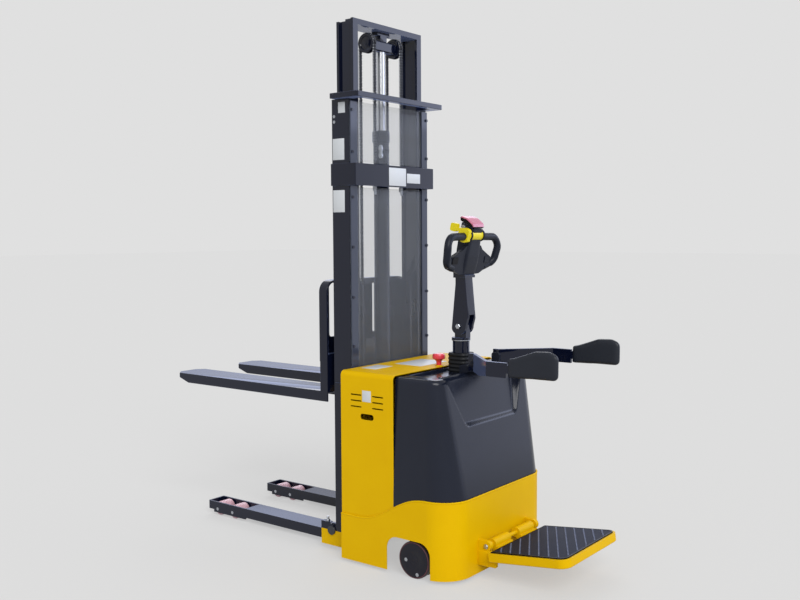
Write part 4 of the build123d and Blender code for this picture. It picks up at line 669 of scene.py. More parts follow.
def coat_nodes(paint: Paint, *nodes: str) -> None:
    """Gives construction nodes whose shape is right a finish.

    Args:
        paint: The finish.
        *nodes: The nodes.
    """
    for node in nodes:
        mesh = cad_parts[node].data
        mesh.materials.clear()
        mesh.materials.append(MATERIALS[paint])


def freeze(piece: Piece) -> None:
    """Applies a piece's modifiers to its mesh.

    Args:
        piece: The piece.
    """
    graph = bpy.context.evaluated_depsgraph_get()
    mesh = bpy.data.meshes.new_from_object(piece.evaluated_get(graph))
    piece.modifiers.clear()
    piece.data = mesh


def carve(piece: Piece, room: Surface) -> None:
    """Cuts the room that another piece moves in out of a piece, and keeps the result.

    Args:
        piece: The piece to cut.
        room: What is taken away, in millimetres.
    """
    tool = build_piece("room", room, Paint.BLACK_PLASTIC)
    cut = piece.modifiers.new("cut", "BOOLEAN")
    cut.object = tool
    cut.operation = "DIFFERENCE"
    cut.solver = "EXACT"
    bpy.context.view_layer.update()
    freeze(piece)
    bpy.data.objects.remove(tool)
    piece.data.set_sharp_from_angle(angle=radians(SHARP_MOULDED))


@dataclass(frozen=True)
class Eased:
    """A construction node whose sharp edges are rounded, as folding, grinding and paint leave them."""

    node: str
    body: str
    slot: str
    paint: Paint
    width_mm: float
    segments: int = 2
    rooms: tuple[Surface, ...] = ()

    def build(self) -> None:
        """Merges a copy of the node, cuts the rooms out, rounds its edges and puts it in the node's place."""
        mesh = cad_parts[self.node].data.copy()
        shape = bmesh.new()
        shape.from_mesh(mesh)
        bmesh.ops.remove_doubles(shape, verts=shape.verts, dist=WELD)
        bmesh.ops.dissolve_limit(shape, angle_limit=radians(FLAT), verts=shape.verts, edges=shape.edges)
        shape.to_mesh(mesh)
        shape.free()
        piece = finish_mesh(f"{self.node}_eased", mesh, self.paint, SHARP)
        for room in self.rooms:
            carve(piece, room)
        add_bevel(piece, self.width_mm, self.segments)
        settle(piece, self.body, self.slot, self.node)


def black_steel(
    node: str, body: str, width_mm: float, segments: int = 2, rooms: tuple[Surface, ...] = ()
) -> None:
    """Eases a node of painted black steel."""
    Eased(node, body, "black_paint", Paint.BLACK, width_mm, segments, rooms).build()


def yellow_steel(node: str, body: str, width_mm: float, segments: int = 2) -> None:
    """Eases a node of painted yellow steel."""
    Eased(node, body, "yellow_paint", Paint.YELLOW, width_mm, segments).build()


# The studio


@dataclass(frozen=True)
class SoftBox:
    """A wide lamp standing away from the machine, which gloss mirrors and the camera doesn't see."""

    name: str
    toward: Triple
    size: Pair
    low: float
    watts: float
    colour: str
    far: float = 7.0

    def build(self, floor: Piece) -> None:
        """Makes the lamp, which leaves the floor as it is.

        Args:
            floor: The floor.
        """
        lamp = bpy.data.lights.new(self.name, "AREA")
        lamp.shape = "RECTANGLE"
        lamp.size, lamp.size_y = self.size
        lamp.energy = self.watts
        lamp.color = linear(self.colour)[:3]
        box = bpy.data.objects.new(self.name, lamp)
        box.visible_camera = False
        place = self.far * np.array(self.toward) + np.array([0, 0, self.low + self.size[1] / 2])
        turn = Matrix(basis(self.toward).T.tolist()).to_4x4()
        box.matrix_world = Matrix.Translation(place.tolist()) @ turn
        bpy.context.scene.collection.objects.link(box)
        unlit = bpy.data.collections.new(f"{self.name}_leaves_out")
        unlit.objects.link(floor)
        unlit.collection_objects[0].light_linking.link_state = "EXCLUDE"
        box.light_linking.receiver_collection = unlit


@dataclass(frozen=True)
class Sun:
    """A wide sun, so that the floor is lit evenly and shadows are soft. Its spread is in degrees."""

    name: str
    toward: Triple
    level: float
    spread: float

    def build(self) -> None:
        """Makes the lamp."""
        lamp = bpy.data.lights.new(self.name, "SUN")
        lamp.energy = self.level
        lamp.angle = radians(self.spread)
        sun = bpy.data.objects.new(self.name, lamp)
        sun.matrix_world = Matrix(basis(self.toward).T.tolist()).to_4x4()
        bpy.context.scene.collection.objects.link(sun)


@dataclass
class Studio:
    """A pale floor, soft light and a camera at the photograph's angle."""

    backdrop: str = "#E0E0E0"
    floor_half: float = 60.0
    floor_colour: str = "#D2D2D2"
    floor_glow: float = 0.6
    sky_level: float = 0.55
    suns: tuple[Sun, ...] = (
        Sun("key", (0.64, -0.51, 0.57), 2.2, 40.0),
        Sun("rim", (-0.45, 0.62, 0.64), 0.75, 36.0),
    )
    boxes: tuple[SoftBox, ...] = (
        SoftBox("rear_box", (0.61, 0.79, 0.0), (8.0, 4.6), 0.0, 85.0, "#D2DCFF"),
        SoftBox("high_box", (0.61, 0.79, 0.0), (8.0, 1.9), 2.65, 88.0, "#D2DCFF", 6.6),
        SoftBox("top_box", (-0.61, 0.79, 0.0), (8.0, 2.6), 2.0, 80.0, "#C4D2FF"),
    )
    camera_place: Triple = (2875.6, -3559.4, 1461.3)
    yaw: float = 37.6
    pitch: float = -4.0
    roll: float = -0.3
    focal_px: float = 957.9
    image_width: int = 800
    sensor_mm: float = 36.0
    sight: float = 500.0

    def build(self) -> None:
        """Makes the world, the floor, the lamps and the camera."""
        bpy.context.scene.view_settings.view_transform = "Standard"
        self.make_world()
        floor = self.make_floor()
        for sun in self.suns:
            sun.build()
        for box in self.boxes:
            box.build(floor)
        self.make_camera()

    @staticmethod
    def straight_rays(tree: Tree) -> Socket:
        """One for rays from the camera, from gloss and through glass, which see the pale backdrop itself.

        Args:
            tree: The nodes to add to.

        Returns:
            The socket that gives one or nought.
        """
        path = add_node(tree, "ShaderNodeLightPath").outputs
        most = {"operation": "MAXIMUM"}
        first = add_node(tree, "ShaderNodeMath", most, i0=path["Is Camera Ray"], i1=path["Is Glossy Ray"])
        last = add_node(tree, "ShaderNodeMath", most, i0=first.outputs[0], i1=path["Is Transmission Ray"])
        return last.outputs[0]

    def make_world(self) -> None:
        """A soft even sky for light, seen as the pale backdrop."""
        world = bpy.data.worlds.new("studio")
        bpy.context.scene.world = world
        world.use_nodes = True
        tree = world.node_tree
        tree.nodes.clear()
        seen = add_node(tree, "ShaderNodeBackground", Color=linear(self.backdrop), Strength=1.0).outputs[0]
        light = add_node(tree, "ShaderNodeBackground", Color=(1, 1, 1, 1), Strength=self.sky_level).outputs[0]
        straight = self.straight_rays(tree)
        whole = add_node(tree, "ShaderNodeMixShader", i0=straight, i1=light, i2=seen).outputs[0]
        add_node(tree, "ShaderNodeOutputWorld", Surface=whole)

    def make_floor(self) -> Piece:
        """A wide level sheet at height nought, part lit and part plain backdrop, so shadows stay light.

        Returns:
            The floor.
        """
        half = self.floor_half
        corners = [(-half, -half, 0), (half, -half, 0), (half, half, 0), (-half, half, 0)]
        mesh = bpy.data.meshes.new("floor")
        mesh.from_pydata(corners, [], [(0, 1, 2, 3)])
        material = bpy.data.materials.new("studio_floor")
        material.use_nodes = True
        tree = material.node_tree
        tree.nodes.clear()
        lit = add_node(tree, "ShaderNodeBsdfDiffuse", Color=linear(self.floor_colour)).outputs[0]
        glow = add_node(tree, "ShaderNodeEmission", Color=linear(self.backdrop), Strength=1.0).outputs[0]
        straight = self.straight_rays(tree)
        share = add_node(tree, "ShaderNodeMath", {"operation": "MULTIPLY"}, i0=straight, i1=self.floor_glow)
        whole = add_node(tree, "ShaderNodeMixShader", i0=share.outputs[0], i1=lit, i2=glow).outputs[0]
        add_node(tree, "ShaderNodeOutputMaterial", Surface=whole)
        mesh.materials.append(material)
        floor = bpy.data.objects.new("floor", mesh)
        bpy.context.scene.collection.objects.link(floor)
        return floor

    def make_camera(self) -> None:
        """The photograph's camera: a place, a heading, a tilt and a focal length in pixels."""
        yaw, pitch, roll = radians(self.yaw), radians(self.pitch), radians(self.roll)
        ahead = np.array([-sin(yaw) * cos(pitch), cos(yaw) * cos(pitch), sin(pitch)])
        right = np.array([cos(yaw), sin(yaw), 0.0])
        up = np.cross(right, ahead)
        rolled_right = cos(roll) * right + sin(roll) * up
        rolled_up = cos(roll) * up - sin(roll) * right
        lens = bpy.data.cameras.new("camera")
        lens.sensor_width = self.sensor_mm
        lens.lens = self.focal_px * self.sensor_mm / self.image_width
        lens.clip_end = self.sight
        camera = bpy.data.objects.new("camera", lens)
        turn = Matrix(np.stack([rolled_right, rolled_up, -ahead], 1).tolist()).to_4x4()
        camera.matrix_world = Matrix.Translation([MM * value for value in self.camera_place]) @ turn
        bpy.context.scene.collection.objects.link(camera)
        bpy.context.scene.camera = camera


# The machine's sub-assemblies


@dataclass
class Body:
    """The yellow covers, the chassis and the console."""

    cover_half: float = 393.0
    housing_top: float = 858.0
    rating_plate: Quad = (227.0, 275.0, 731.0, 780.0)
    top_plates: tuple[Quad, ...] = ((130.0, 215.0, -285.0, -160.0), (170.0, 320.0, -90.0, 120.0))
    skirt_front: float = 105.0
    skirt_rear: float = 702.0
    skirt_half: float = 399.0
    skirt_corner: float = 133.0
    wall_slack: float = 0.1
    edge_least: float = 200.0
    lip_r: float = 4.2
    lip_inset: float = 2.6
    lip_sides: int = 16
    side_steps: int = 120
    corner_steps: int = 24

    def build(self) -> None:
        """Rounds the sheet-metal edges and lays the blank plates."""
        yellow_steel("front_housing", "chassis", 1.2)
        yellow_steel("skirt", "chassis", 1.8)
        yellow_steel("chassis_frame", "chassis", 2.0)
        Eased("console", "chassis", "black_plastic", Paint.BLACK_PLASTIC, 4.0, 3).build()
        x0, x1, z0, z1 = self.rating_plate
        side = -self.cover_half
        plate("rating_plate", (x0, side - PLATE_PROUD, z0), (x1, side + PLATE_SUNK, z1), "chassis")
        for number, (x0, x1, y0, y1) in enumerate(self.top_plates, 1):
            top = self.housing_top
            plate(f"cover_plate_{number}", (x0, y0, top - PLATE_SUNK), (x1, y1, top + PLATE_PROUD), "chassis")
        fit("skirt_lip", self.lip(), Paint.YELLOW, "chassis", "yellow_paint")

    def top_edge(self) -> Array:
        """The skirt's wavy top edge as points of its left wall, from the front to the rear.

        Returns:
            The points.
        """
        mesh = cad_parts["skirt"].data
        points = np.zeros(3 * len(mesh.vertices))
        mesh.vertices.foreach_get("co", points)
        points = points.reshape(-1, 3) / MM
        on_wall = np.abs(points[:, 1] + self.skirt_half) < self.wall_slack
        edge = points[on_wall & (points[:, 2] > self.edge_least)]
        return edge[np.argsort(edge[:, 0])]

    def lip(self) -> Surface:
        """The skirt's rolled top edge: a circle square to the wall, carried round at the edge's height.

        Returns:
            The closed surface.
        """
        edge = self.top_edge()
        straight, bend = self.side_steps, self.corner_steps
        middle_x, middle_y = self.skirt_rear - self.skirt_corner, self.skirt_half - self.skirt_corner
        turn = np.concatenate([np.full(straight, -pi / 2), np.linspace(-pi / 2, 0, bend)])
        side_x = np.linspace(self.skirt_front, middle_x, straight)
        centre_x = np.concatenate([side_x, np.full(bend, middle_x)])
        turn = np.concatenate([turn, -turn[::-1]])
        centre_x = np.concatenate([centre_x, centre_x[::-1]])
        centre_y = np.repeat([-middle_y, middle_y], straight + bend)
        reach = self.skirt_corner - self.lip_inset
        round_it = np.linspace(0, 2 * pi, self.lip_sides, endpoint=False)
        out = reach + self.lip_r * np.cos(round_it)
        x = centre_x[:, None] + out * np.cos(turn)[:, None]
        y = centre_y[:, None] + out * np.sin(turn)[:, None]
        height = np.interp(centre_x + reach * np.cos(turn), edge[:, 0], edge[:, 2])
        return skin(np.stack([x, y, height[:, None] + self.lip_r * np.sin(round_it)], -1))


@dataclass
class Hood:
    """The rear hood: a leaning shell with a knee recess, a rounded rim and a shallow tray."""

    front: float = 396.0
    foot_rear: float = 696.0
    foot_half: float = 393.0
    corner: float = 128.0
    top_corner: float = 62.0
    shoulder: float = 350.0
    top: float = 850.0
    lean_x: float = 84.0
    lean_y: float = 20.0
    rim: float = 20.0
    wall: float = 5.0
    hem_low: float = 203.0
    hem_rise: float = 127.0
    hem_span: Pair = (195.0, 575.0)
    knee_levels: tuple[Triple, ...] = (
        (350.0, 829.0, 186.0),
        (634.0, 650.0, 192.0),
        (652.0, 630.0, 203.0),
        (870.0, 560.0, 296.0),
    )
    flare: float = 0.5
    soft_mm: float = 5.0
    recess_draw: float = 0.5
    tray: Triple = (409.0, 545.0, 300.0)
    tray_corner: float = 20.0
    tray_steps: tuple[Pair, ...] = ((1.0, 850.0), (0.985, 848.0), (0.97, 838.0))
    side_steps: int = 12
    corner_steps: int = 24
    rear_steps: int = 210
    wall_rows: int = 120
    row_gap: float = 1e-3
    rim_rows: int = 8
    floor_rows: int = 7

    def build(self) -> None:
        """Makes the shell and gives it its wall."""
        piece = build_piece("hood_shell", skin(self.rows(), caps=False), Paint.HOOD, SHARP_SHELL)
        wall = piece.modifiers.new("wall", "SOLIDIFY")
        wall.thickness = self.wall * MM
        wall.offset = -1
        settle(piece, "chassis", "hood_plastic", "hood")

    def loop(self, front: float, rear: Array, half: Array, corner: Array) -> tuple[Array, Array]:
        """A plan outline, square in front, with two round rear corners: left side, rear, right side, front.

        Args:
            front: Where the outline starts along X.
            rear: Where each row ends along X.
            half: Half of each row's width.
            corner: Each row's corner radius.

        Returns:
            The outline's X and Y, a row of points for each row.
        """
        along = np.linspace(0, 1, self.side_steps, endpoint=False)
        turn = np.linspace(-pi / 2, 0, self.corner_steps, endpoint=False)
        over = np.linspace(-1, 1, self.rear_steps)
        side_x = front + (rear - corner - front) * along
        arc_x = rear - corner + corner * np.cos(turn)
        arc_y = -half + corner + corner * np.sin(turn)
        left_x = np.concatenate([side_x, arc_x], -1)
        left_y = np.concatenate([np.broadcast_to(-half, side_x.shape), arc_y], -1)
        rear_x = np.broadcast_to(rear, (*rear.shape[:-1], self.rear_steps))
        rear_y = (half - corner) * over
        ahead_y = half * np.linspace(1, -1, self.side_steps, endpoint=False)
        ahead_x = np.full(ahead_y.shape, front)
        x = np.concatenate([left_x, rear_x, left_x[..., ::-1], ahead_x], -1)
        y = np.concatenate([left_y, rear_y, -left_y[..., ::-1], ahead_y], -1)
        return x, y

    def recess(self, y: Array, z: Array) -> Array:
        """How far back the knee recess lets the hood reach: planes that lean by level, with flared sides.

        Args:
            y: Each point's place across.
            z: Each point's height.

        Returns:
            The largest X at each point.
        """
        levels, planes, halves = np.array(self.knee_levels).T
        plane = np.interp(z, levels, planes)
        beyond = -smooth_least(np.zeros_like(y), np.interp(z, levels, halves) - np.abs(y), 2 * self.soft_mm)
        return plane + beyond / self.flare

    def section(self, z: Array, inset: Array) -> Array:
        """The hood's outline at each row's height, drawn in by the row's inset, with the recess taken out.

        Args:
            z: Each row's height.
            inset: How far each row is drawn in.

        Returns:
            The points, row by row.
        """
        share = np.clip((z - self.shoulder) / (self.top - self.shoulder), 0, None)
        rear = self.foot_rear - share * self.lean_x - inset
        half = self.foot_half - share * self.lean_y - inset
        corner = self.corner + share * (self.top_corner - self.corner) - inset
        x, y = self.loop(self.front, rear, half, corner)
        z = np.broadcast_to(z, x.shape)
        x = smooth_least(x, self.recess(y, z) - self.recess_draw * inset, self.soft_mm)
        return np.stack([x, y, z], -1)

    def tray_rows(self) -> Array:
        """The tray's edge, lip and floor edge: one outline drawn in about its middle at three heights.

        Returns:
            The points, row by row.
        """
        front, rear, half = self.tray
        one = np.ones((1, 1))
        x, y = self.loop(front, rear * one, half * one, self.tray_corner * one)
        shares, levels = np.array(self.tray_steps).T[:, :, None]
        middle = (front + rear) / 2
        return np.stack(np.broadcast_arrays(middle + (x - middle) * shares, y * shares, levels), -1)

    def rows(self) -> Array:
        """Rows up the wall, over the rounded rim, in to the tray's edge, down its side and to its middle.

        Returns:
            The points, row by row.
        """
        rise = np.linspace(0, 1, self.wall_rows)[:, None]
        foot = self.section(np.full((1, 1), self.shoulder), np.zeros((1, 1)))[0]
        hem = self.hem_low + self.hem_rise * smooth_step(foot[:, 0], *self.hem_span)
        wall_top = self.top - self.rim
        levels = np.linspace(self.hem_low, wall_top, self.wall_rows)[:, None]
        wall = self.section(levels, np.zeros_like(levels))
        wall[..., 2] = np.maximum(levels, hem + rise * self.row_gap)
        turn = np.linspace(0, pi / 2, self.rim_rows + 1)[1:, None]
        rim = self.section(wall_top + self.rim * np.sin(turn), self.rim * (1 - np.cos(turn)))
        tray = self.tray_rows()
        ring = rim[-1:] + (tray[:1] - rim[-1:]) * np.linspace(0, 1, self.rim_rows)[1:-1, None, None]
        middle = np.array([sum(self.tray[:2]) / 2, 0, self.tray_steps[-1][1]])
        floor = middle + (tray[-1:] - middle) * np.linspace(1, 0, self.floor_rows)[1:, None, None]
        return np.concatenate([wall, rim, ring, tray, floor])


@dataclass
class Mast:
    """The fixed and sliding mast, the clear guard and the lift cylinder."""

    face_y: float = -290.0
    beam_rear: float = 117.5
    side_plates: tuple[Quad, ...] = (
        (-20.0, 48.0, 1790.0, 1885.0),
        (-20.0, 48.0, 1556.0, 1655.0),
        (14.0, 54.0, 1998.0, 2046.0),
    )
    beam_plates: tuple[Quad, ...] = ((-56.0, 73.0, 1681.0, 1764.0), (81.0, 185.0, 1697.0, 1742.0))
    side_bolts: tuple[Pair, ...] = ((-10.0, 1984.0), (-10.0, 1960.0))
    side_bolt_sunk: float = 0.5
    side_bolt_size: Pair = (13.0, 3.0)
    foot_pin: Triple = (-20.0, 322.0, 98.0)
    foot_pin_dome: Profile = ((POLE, 0.0), (22.0, 0.0), (22.0, 6.0), (20.0, 8.4), (14.0, 9.0), (POLE, 9.0))
    foot_bolt: Triple = (-54.0, 311.0, 132.0)
    foot_bolt_stem: Profile = ((6.0, 0.0), (6.0, 20.0), (5.0, 22.0))
    foot_nut_size: Pair = (18.0, 10.0)
    hose_joint: Pair = (52.0, -34.0)
    hose_joint_z: Pair = (1810.0, 1872.0)
    hose_joint_r: Pair = (6.0, 8.0)
    hose_joint_chamfer: float = 2.0
    hose_nuts: Pair = (8.0, 22.0)
    hose_nut_size: Pair = (19.0, 13.0)
    roller_nodes: tuple[str, ...] = ("outer_mast_rollers", "inner_mast_rollers", "carriage_rollers")
    guard_x: Pair = (76.5, 79.5)
    guard_half: float = 288.5
    guard_round: float = 0.5
    guard_z: tuple[Pair, ...] = ((790.0, 1668.0), (1781.0, 2050.0))
    head_top: float = 2420.0
    head_far: float = 260.0
    head_ends: Quad = (-9.0, 61.0, 243.0, 2390.0)
    head_steps: Quad = (-30.0, 20.0, 214.0, 2409.0)
    head_round: float = 0.5

    def build(self) -> None:
        """Rounds the steel sections and adds plates, bolts and pins."""
        black_steel("outer_mast", "chassis", 1.6)
        black_steel("mast_crossbar", "chassis", 2.2)
        black_steel("mast_mid_beam", "chassis", 1.6)
        Eased("guard_strips", "chassis", "black_paint", Paint.STRIP, 0.8).build()
        black_steel("inner_mast", "inner_mast", 1.6, rooms=self.head_rooms())
        black_steel("chain_crosshead", "inner_mast", 2.0)
        fit("guard_panes", self.panes(), Paint.CLEAR, "chassis", "clear_guard", "guard_sheet")
        coat_nodes(Paint.BLACK, "cylinder_barrel", "guard_bolts")
        coat_nodes(Paint.CHROME, "piston_rod")
        coat_nodes(Paint.STEEL, "chain_anchors", *self.roller_nodes)
        face, rear = self.face_y, self.beam_rear
        for number, (x0, x1, z0, z1) in enumerate(self.side_plates, 1):
            low, high = (x0, face - PLATE_PROUD, z0), (x1, face + PLATE_SUNK, z1)
            plate(f"mast_plate_{number}", low, high, "chassis")
        for number, (y0, y1, z0, z1) in enumerate(self.beam_plates, 1):
            low, high = (rear - PLATE_SUNK, y0, z0), (rear + PLATE_PROUD, y1, z1)
            plate(f"beam_plate_{number}", low, high, "chassis")
        spots = [(x, face + self.side_bolt_sunk, z) for x, z in self.side_bolts]
        bolts = hex_heads(spots, Side.LEFT.outward, *self.side_bolt_size)
        fit("mast_side_bolts", bolts, Paint.STEEL, "chassis", "bare_steel")
        fit("mast_foot_pins", self.foot_pins(), Paint.IRON, "chassis", "bare_steel")
        fit("mast_foot_bolts", self.foot_bolts(), Paint.STEEL, "chassis", "bare_steel")
        fit("cylinder_joint", self.joint(), Paint.STEEL, "chassis", "bare_steel")

    def head_rooms(self) -> tuple[Surface, ...]:
        """What is cut from the sliding mast's head: both side channels' open ends, and a step in front.

        Returns:
            The two rooms.
        """
        far, top, soft = self.head_far, self.head_top, self.head_round
        rooms = []
        for x0, x1, y, z in (self.head_ends, self.head_steps):
            right = rounded_box((x0, y, z), (x1, far, top), soft)
            rooms.append(right + rounded_box((x0, -far, z), (x1, -y, top), soft))
        return tuple(rooms)

    def panes(self) -> Surface:
        """The guard's two clear sheets, one under the beam and one over it.

        Returns:
            The sheets.
        """
        front, rear = self.guard_x
        half, soft = self.guard_half, self.guard_round
        spans = [((front, -half, low), (rear, half, high)) for low, high in self.guard_z]
        return joined(rounded_box(low, high, soft) for low, high in spans)

    def foot_pins(self) -> Surface:
        """A domed pin end through the foot on each side, turned about its axis.

        Returns:
            The two pin ends.
        """
        x, y, z = self.foot_pin
        dome = self.foot_pin_dome
        return joined(turned(dome, (x, side.value * y, z), side.outward, sides=40) for side in Side)

    def foot_bolts(self) -> Surface:
        """An upright bolt with its nut on each foot, turned about its axis.

        Returns:
            The bolts and nuts.
        """
        x, y, z = self.foot_bolt
        spots = [(x, side.value * y, z) for side in Side]
        stems = joined(turned(self.foot_bolt_stem, spot, UP, sides=16) for spot in spots)
        return stems + hex_heads(spots, UP, *self.foot_nut_size)

    def joint(self) -> Surface:
        """The upright hose joint beside the barrel: a turned body between two hexagon nuts.

        Returns:
            The body and its nuts.
        """
        x, y = self.hose_joint
        low, high = self.hose_joint_z
        end, middle = self.hose_joint_r
        tall, chamfer = high - low, self.hose_joint_chamfer
        profile = [(end, 0), (middle, chamfer), (middle, tall - chamfer), (end, tall)]
        lower, upper = self.hose_nuts
        nuts = hex_heads([(x, y, low + lower), (x, y, high - upper)], UP, *self.hose_nut_size)
        return turned(profile, (x, y, low), UP, sides=24) + nuts


@dataclass
class LiftChains:
    """Two leaf chains over two sheaves, link by link."""

    sheave_x: float = 28.0
    sheave_y: float = 99.0
    sheave_z: float = 2333.0
    pitch_r: float = 42.0
    pitch: float = 12.7
    plate_height: float = 11.0
    plate_waist: float = 2.4
    plate_thick: float = 1.8
    plate_offsets: Pair = (2.2, 6.9)
    plate_steps: int = 9
    pin_r: float = 3.4
    half_width: float = 9.2
    rear_foot: float = 1745.0
    front_foot: float = 1105.0
    sheave_profile: Profile = (
        (10.0, 13.0), (18.0, 13.0), (18.0, 10.0), (30.0, 9.0), (33.0, 13.0),
        (44.0, 13.0), (45.0, 12.0), (45.0, 10.5), (44.0, 9.5), (35.5, 9.5),
    )

    def build(self) -> None:
        """Makes the runs, the wraps and the sheaves."""
        plates = (self.plates(True), self.plates(False))
        pins = (self.pin(), self.pin())
        for kind, shapes, paint in (("links", plates, Paint.CHAIN), ("pins", pins, Paint.CHAIN_PIN)):
            stands = kind == "links"
            for place, body, foot, reach in (
                ("rear", "chassis", self.rear_foot, self.pitch_r),
                ("front", "carriage", self.front_foot, -self.pitch_r),
            ):
                x = self.sheave_x + reach
                run = build_piece(f"chain_{place}_{kind}", self.run(x, foot, shapes), paint)
                if stands:
                    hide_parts(f"chain_{place}_runs")
                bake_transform(run)
                LOG.info("%s stretches from %s to inner_mast", run.name, body)
            nodes = ["chain_wraps"] if stands else []
            fit(f"chain_wrap_{kind}", self.wrap(shapes), paint, "inner_mast", "chain_steel", *nodes)
        fit("sheave_wheels", self.sheaves(), Paint.BLACK, "sheaves", "bare_steel", "chain_sheaves")

    def plates(self, outer: bool) -> Surface:
        """The plates of one link along Z: a figure eight, circles round both pins and a waist between.

        Args:
            outer: Whether it is an outer link, with four plates, or an inner.

        Returns:
            The link's plates, about the origin.
        """
        radius, pin = self.plate_height / 2, self.pitch / 2
        rising = (pin + radius) * np.sin(np.linspace(-pi / 2, pi / 2, self.plate_steps))
        circle = np.sqrt(np.maximum(radius**2 - (np.abs(rising) - pin) ** 2, 0))
        half = np.where(np.abs(rising) < pin, np.maximum(circle, self.plate_waist), circle)
        along = np.concatenate([rising, rising[-2:0:-1]])
        deep = np.concatenate([half, -half[-2:0:-1]])
        near, far = self.plate_offsets
        middles = (near, -near, far, -far) if outer else (0.0, (near + far) / 2, -(near + far) / 2)
        faces = np.array([-0.5, 0.5])[:, None] * self.plate_thick
        return joined(skin(np.stack(np.broadcast_arrays(deep, y + faces, along), -1)) for y in middles)

    def pin(self) -> Surface:
        """The pin at a link's upper end."""
        profile = [(self.pin_r, -self.half_width), (self.pin_r, self.half_width)]
        return turned(profile, (0, 0, self.pitch / 2), ACROSS, sides=8)

    def run(self, x: float, foot: float, shapes: tuple[Surface, Surface]) -> Surface:
        """A pair of straight runs from a foot up to the sheaves' level, two shapes by turns.

        Args:
            x: Where the runs hang.
            foot: The height at which they end.
            shapes: The shapes of two links.

        Returns:
            Both runs.
        """
        count = int((self.sheave_z - foot) / self.pitch)
        heights = self.sheave_z - self.pitch * (np.arange(count) + 0.5)
        links = []
        for side in Side:
            for first, shape in enumerate(shapes):
                places = np.broadcast_arrays(x, side.value * self.sheave_y, heights[first::2])
                links.append(stamped(shape, np.stack(places, -1)))
        return joined(links)

    def wrap(self, shapes: tuple[Surface, Surface]) -> Surface:
        """Links over the upper half of each sheave, each turned to lie along the pitch circle.

        Args:
            shapes: The shapes of two links.

        Returns:
            Both wraps.
        """
        count = round(pi * self.pitch_r / self.pitch)
        turn = pi * (np.arange(count) + 0.5) / count
        links = []
        for side in Side:
            for first, shape in enumerate(shapes):
                level, rise = np.cos(turn[first::2]), np.sin(turn[first::2])
                zero, one = np.zeros_like(level), np.ones_like(level)
                x, z = self.sheave_x + self.pitch_r * level, self.sheave_z + self.pitch_r * rise
                places = np.stack([x, side.value * self.sheave_y * one, z], -1)
                rows = ([level, zero, rise], [zero, one, zero], [-rise, zero, level])
                links.append(stamped(shape, places, np.stack([np.stack(row, -1) for row in rows], 1)))
        return joined(links)

    def sheaves(self) -> Surface:
        """Grooved wheels with a raised hub: half a profile and its mirror image, turned about the axle.

        Returns:
            The two wheels.
        """
        profile = mirrored(self.sheave_profile)
        centres = [(self.sheave_x, side.value * self.sheave_y, self.sheave_z) for side in Side]
        return joined(turned(profile, centre, ACROSS, sides=40) for centre in centres)


@dataclass
class ForkCarriage:
    """The forks, their backrest and the carriage."""

    rim_x: Pair = (-107.4, -60.2)
    rim_half: float = 298.4
    rim_z: Pair = (870.0, 1246.5)
    rim_bend: float = 56.0
    rim_thick: float = 11.0
    rim_ease: float = 2.0
    bend_steps: int = 12

    def build(self) -> None:
        """Rounds the forged and welded edges and puts the deep rim behind the backrest."""
        black_steel("forks", "carriage", 5.0, 3)
        black_steel("load_backrest", "carriage", 2.5)
        black_steel("carriage_frame", "carriage", 2.0)
        rim = build_piece("backrest_rim", self.rim(), Paint.BLACK)
        add_bevel(rim, self.rim_ease)
        settle(rim, "carriage", "black_paint")

    def rim(self) -> Surface:
        """A flat bar bent into a hoop: a rectangle carried up one side, over the top and down the other.

        Returns:
            The hoop.
        """
        low, high = self.rim_z
        edges = []
        for inset in (0.0, self.rim_thick):
            half, top = self.rim_half - inset, high - inset
            corners = ((-half, low), (-half, top), (half, top), (half, low))
            edges.append(rounded_path(corners, (self.rim_bend - inset,) * 2, self.bend_steps))
        front, rear = self.rim_x
        around = ((rear, edges[0]), (front, edges[0]), (front, edges[1]), (rear, edges[1]))
        return skin(np.stack([np.column_stack([np.full(len(edge), x), edge]) for x, edge in around], 1))


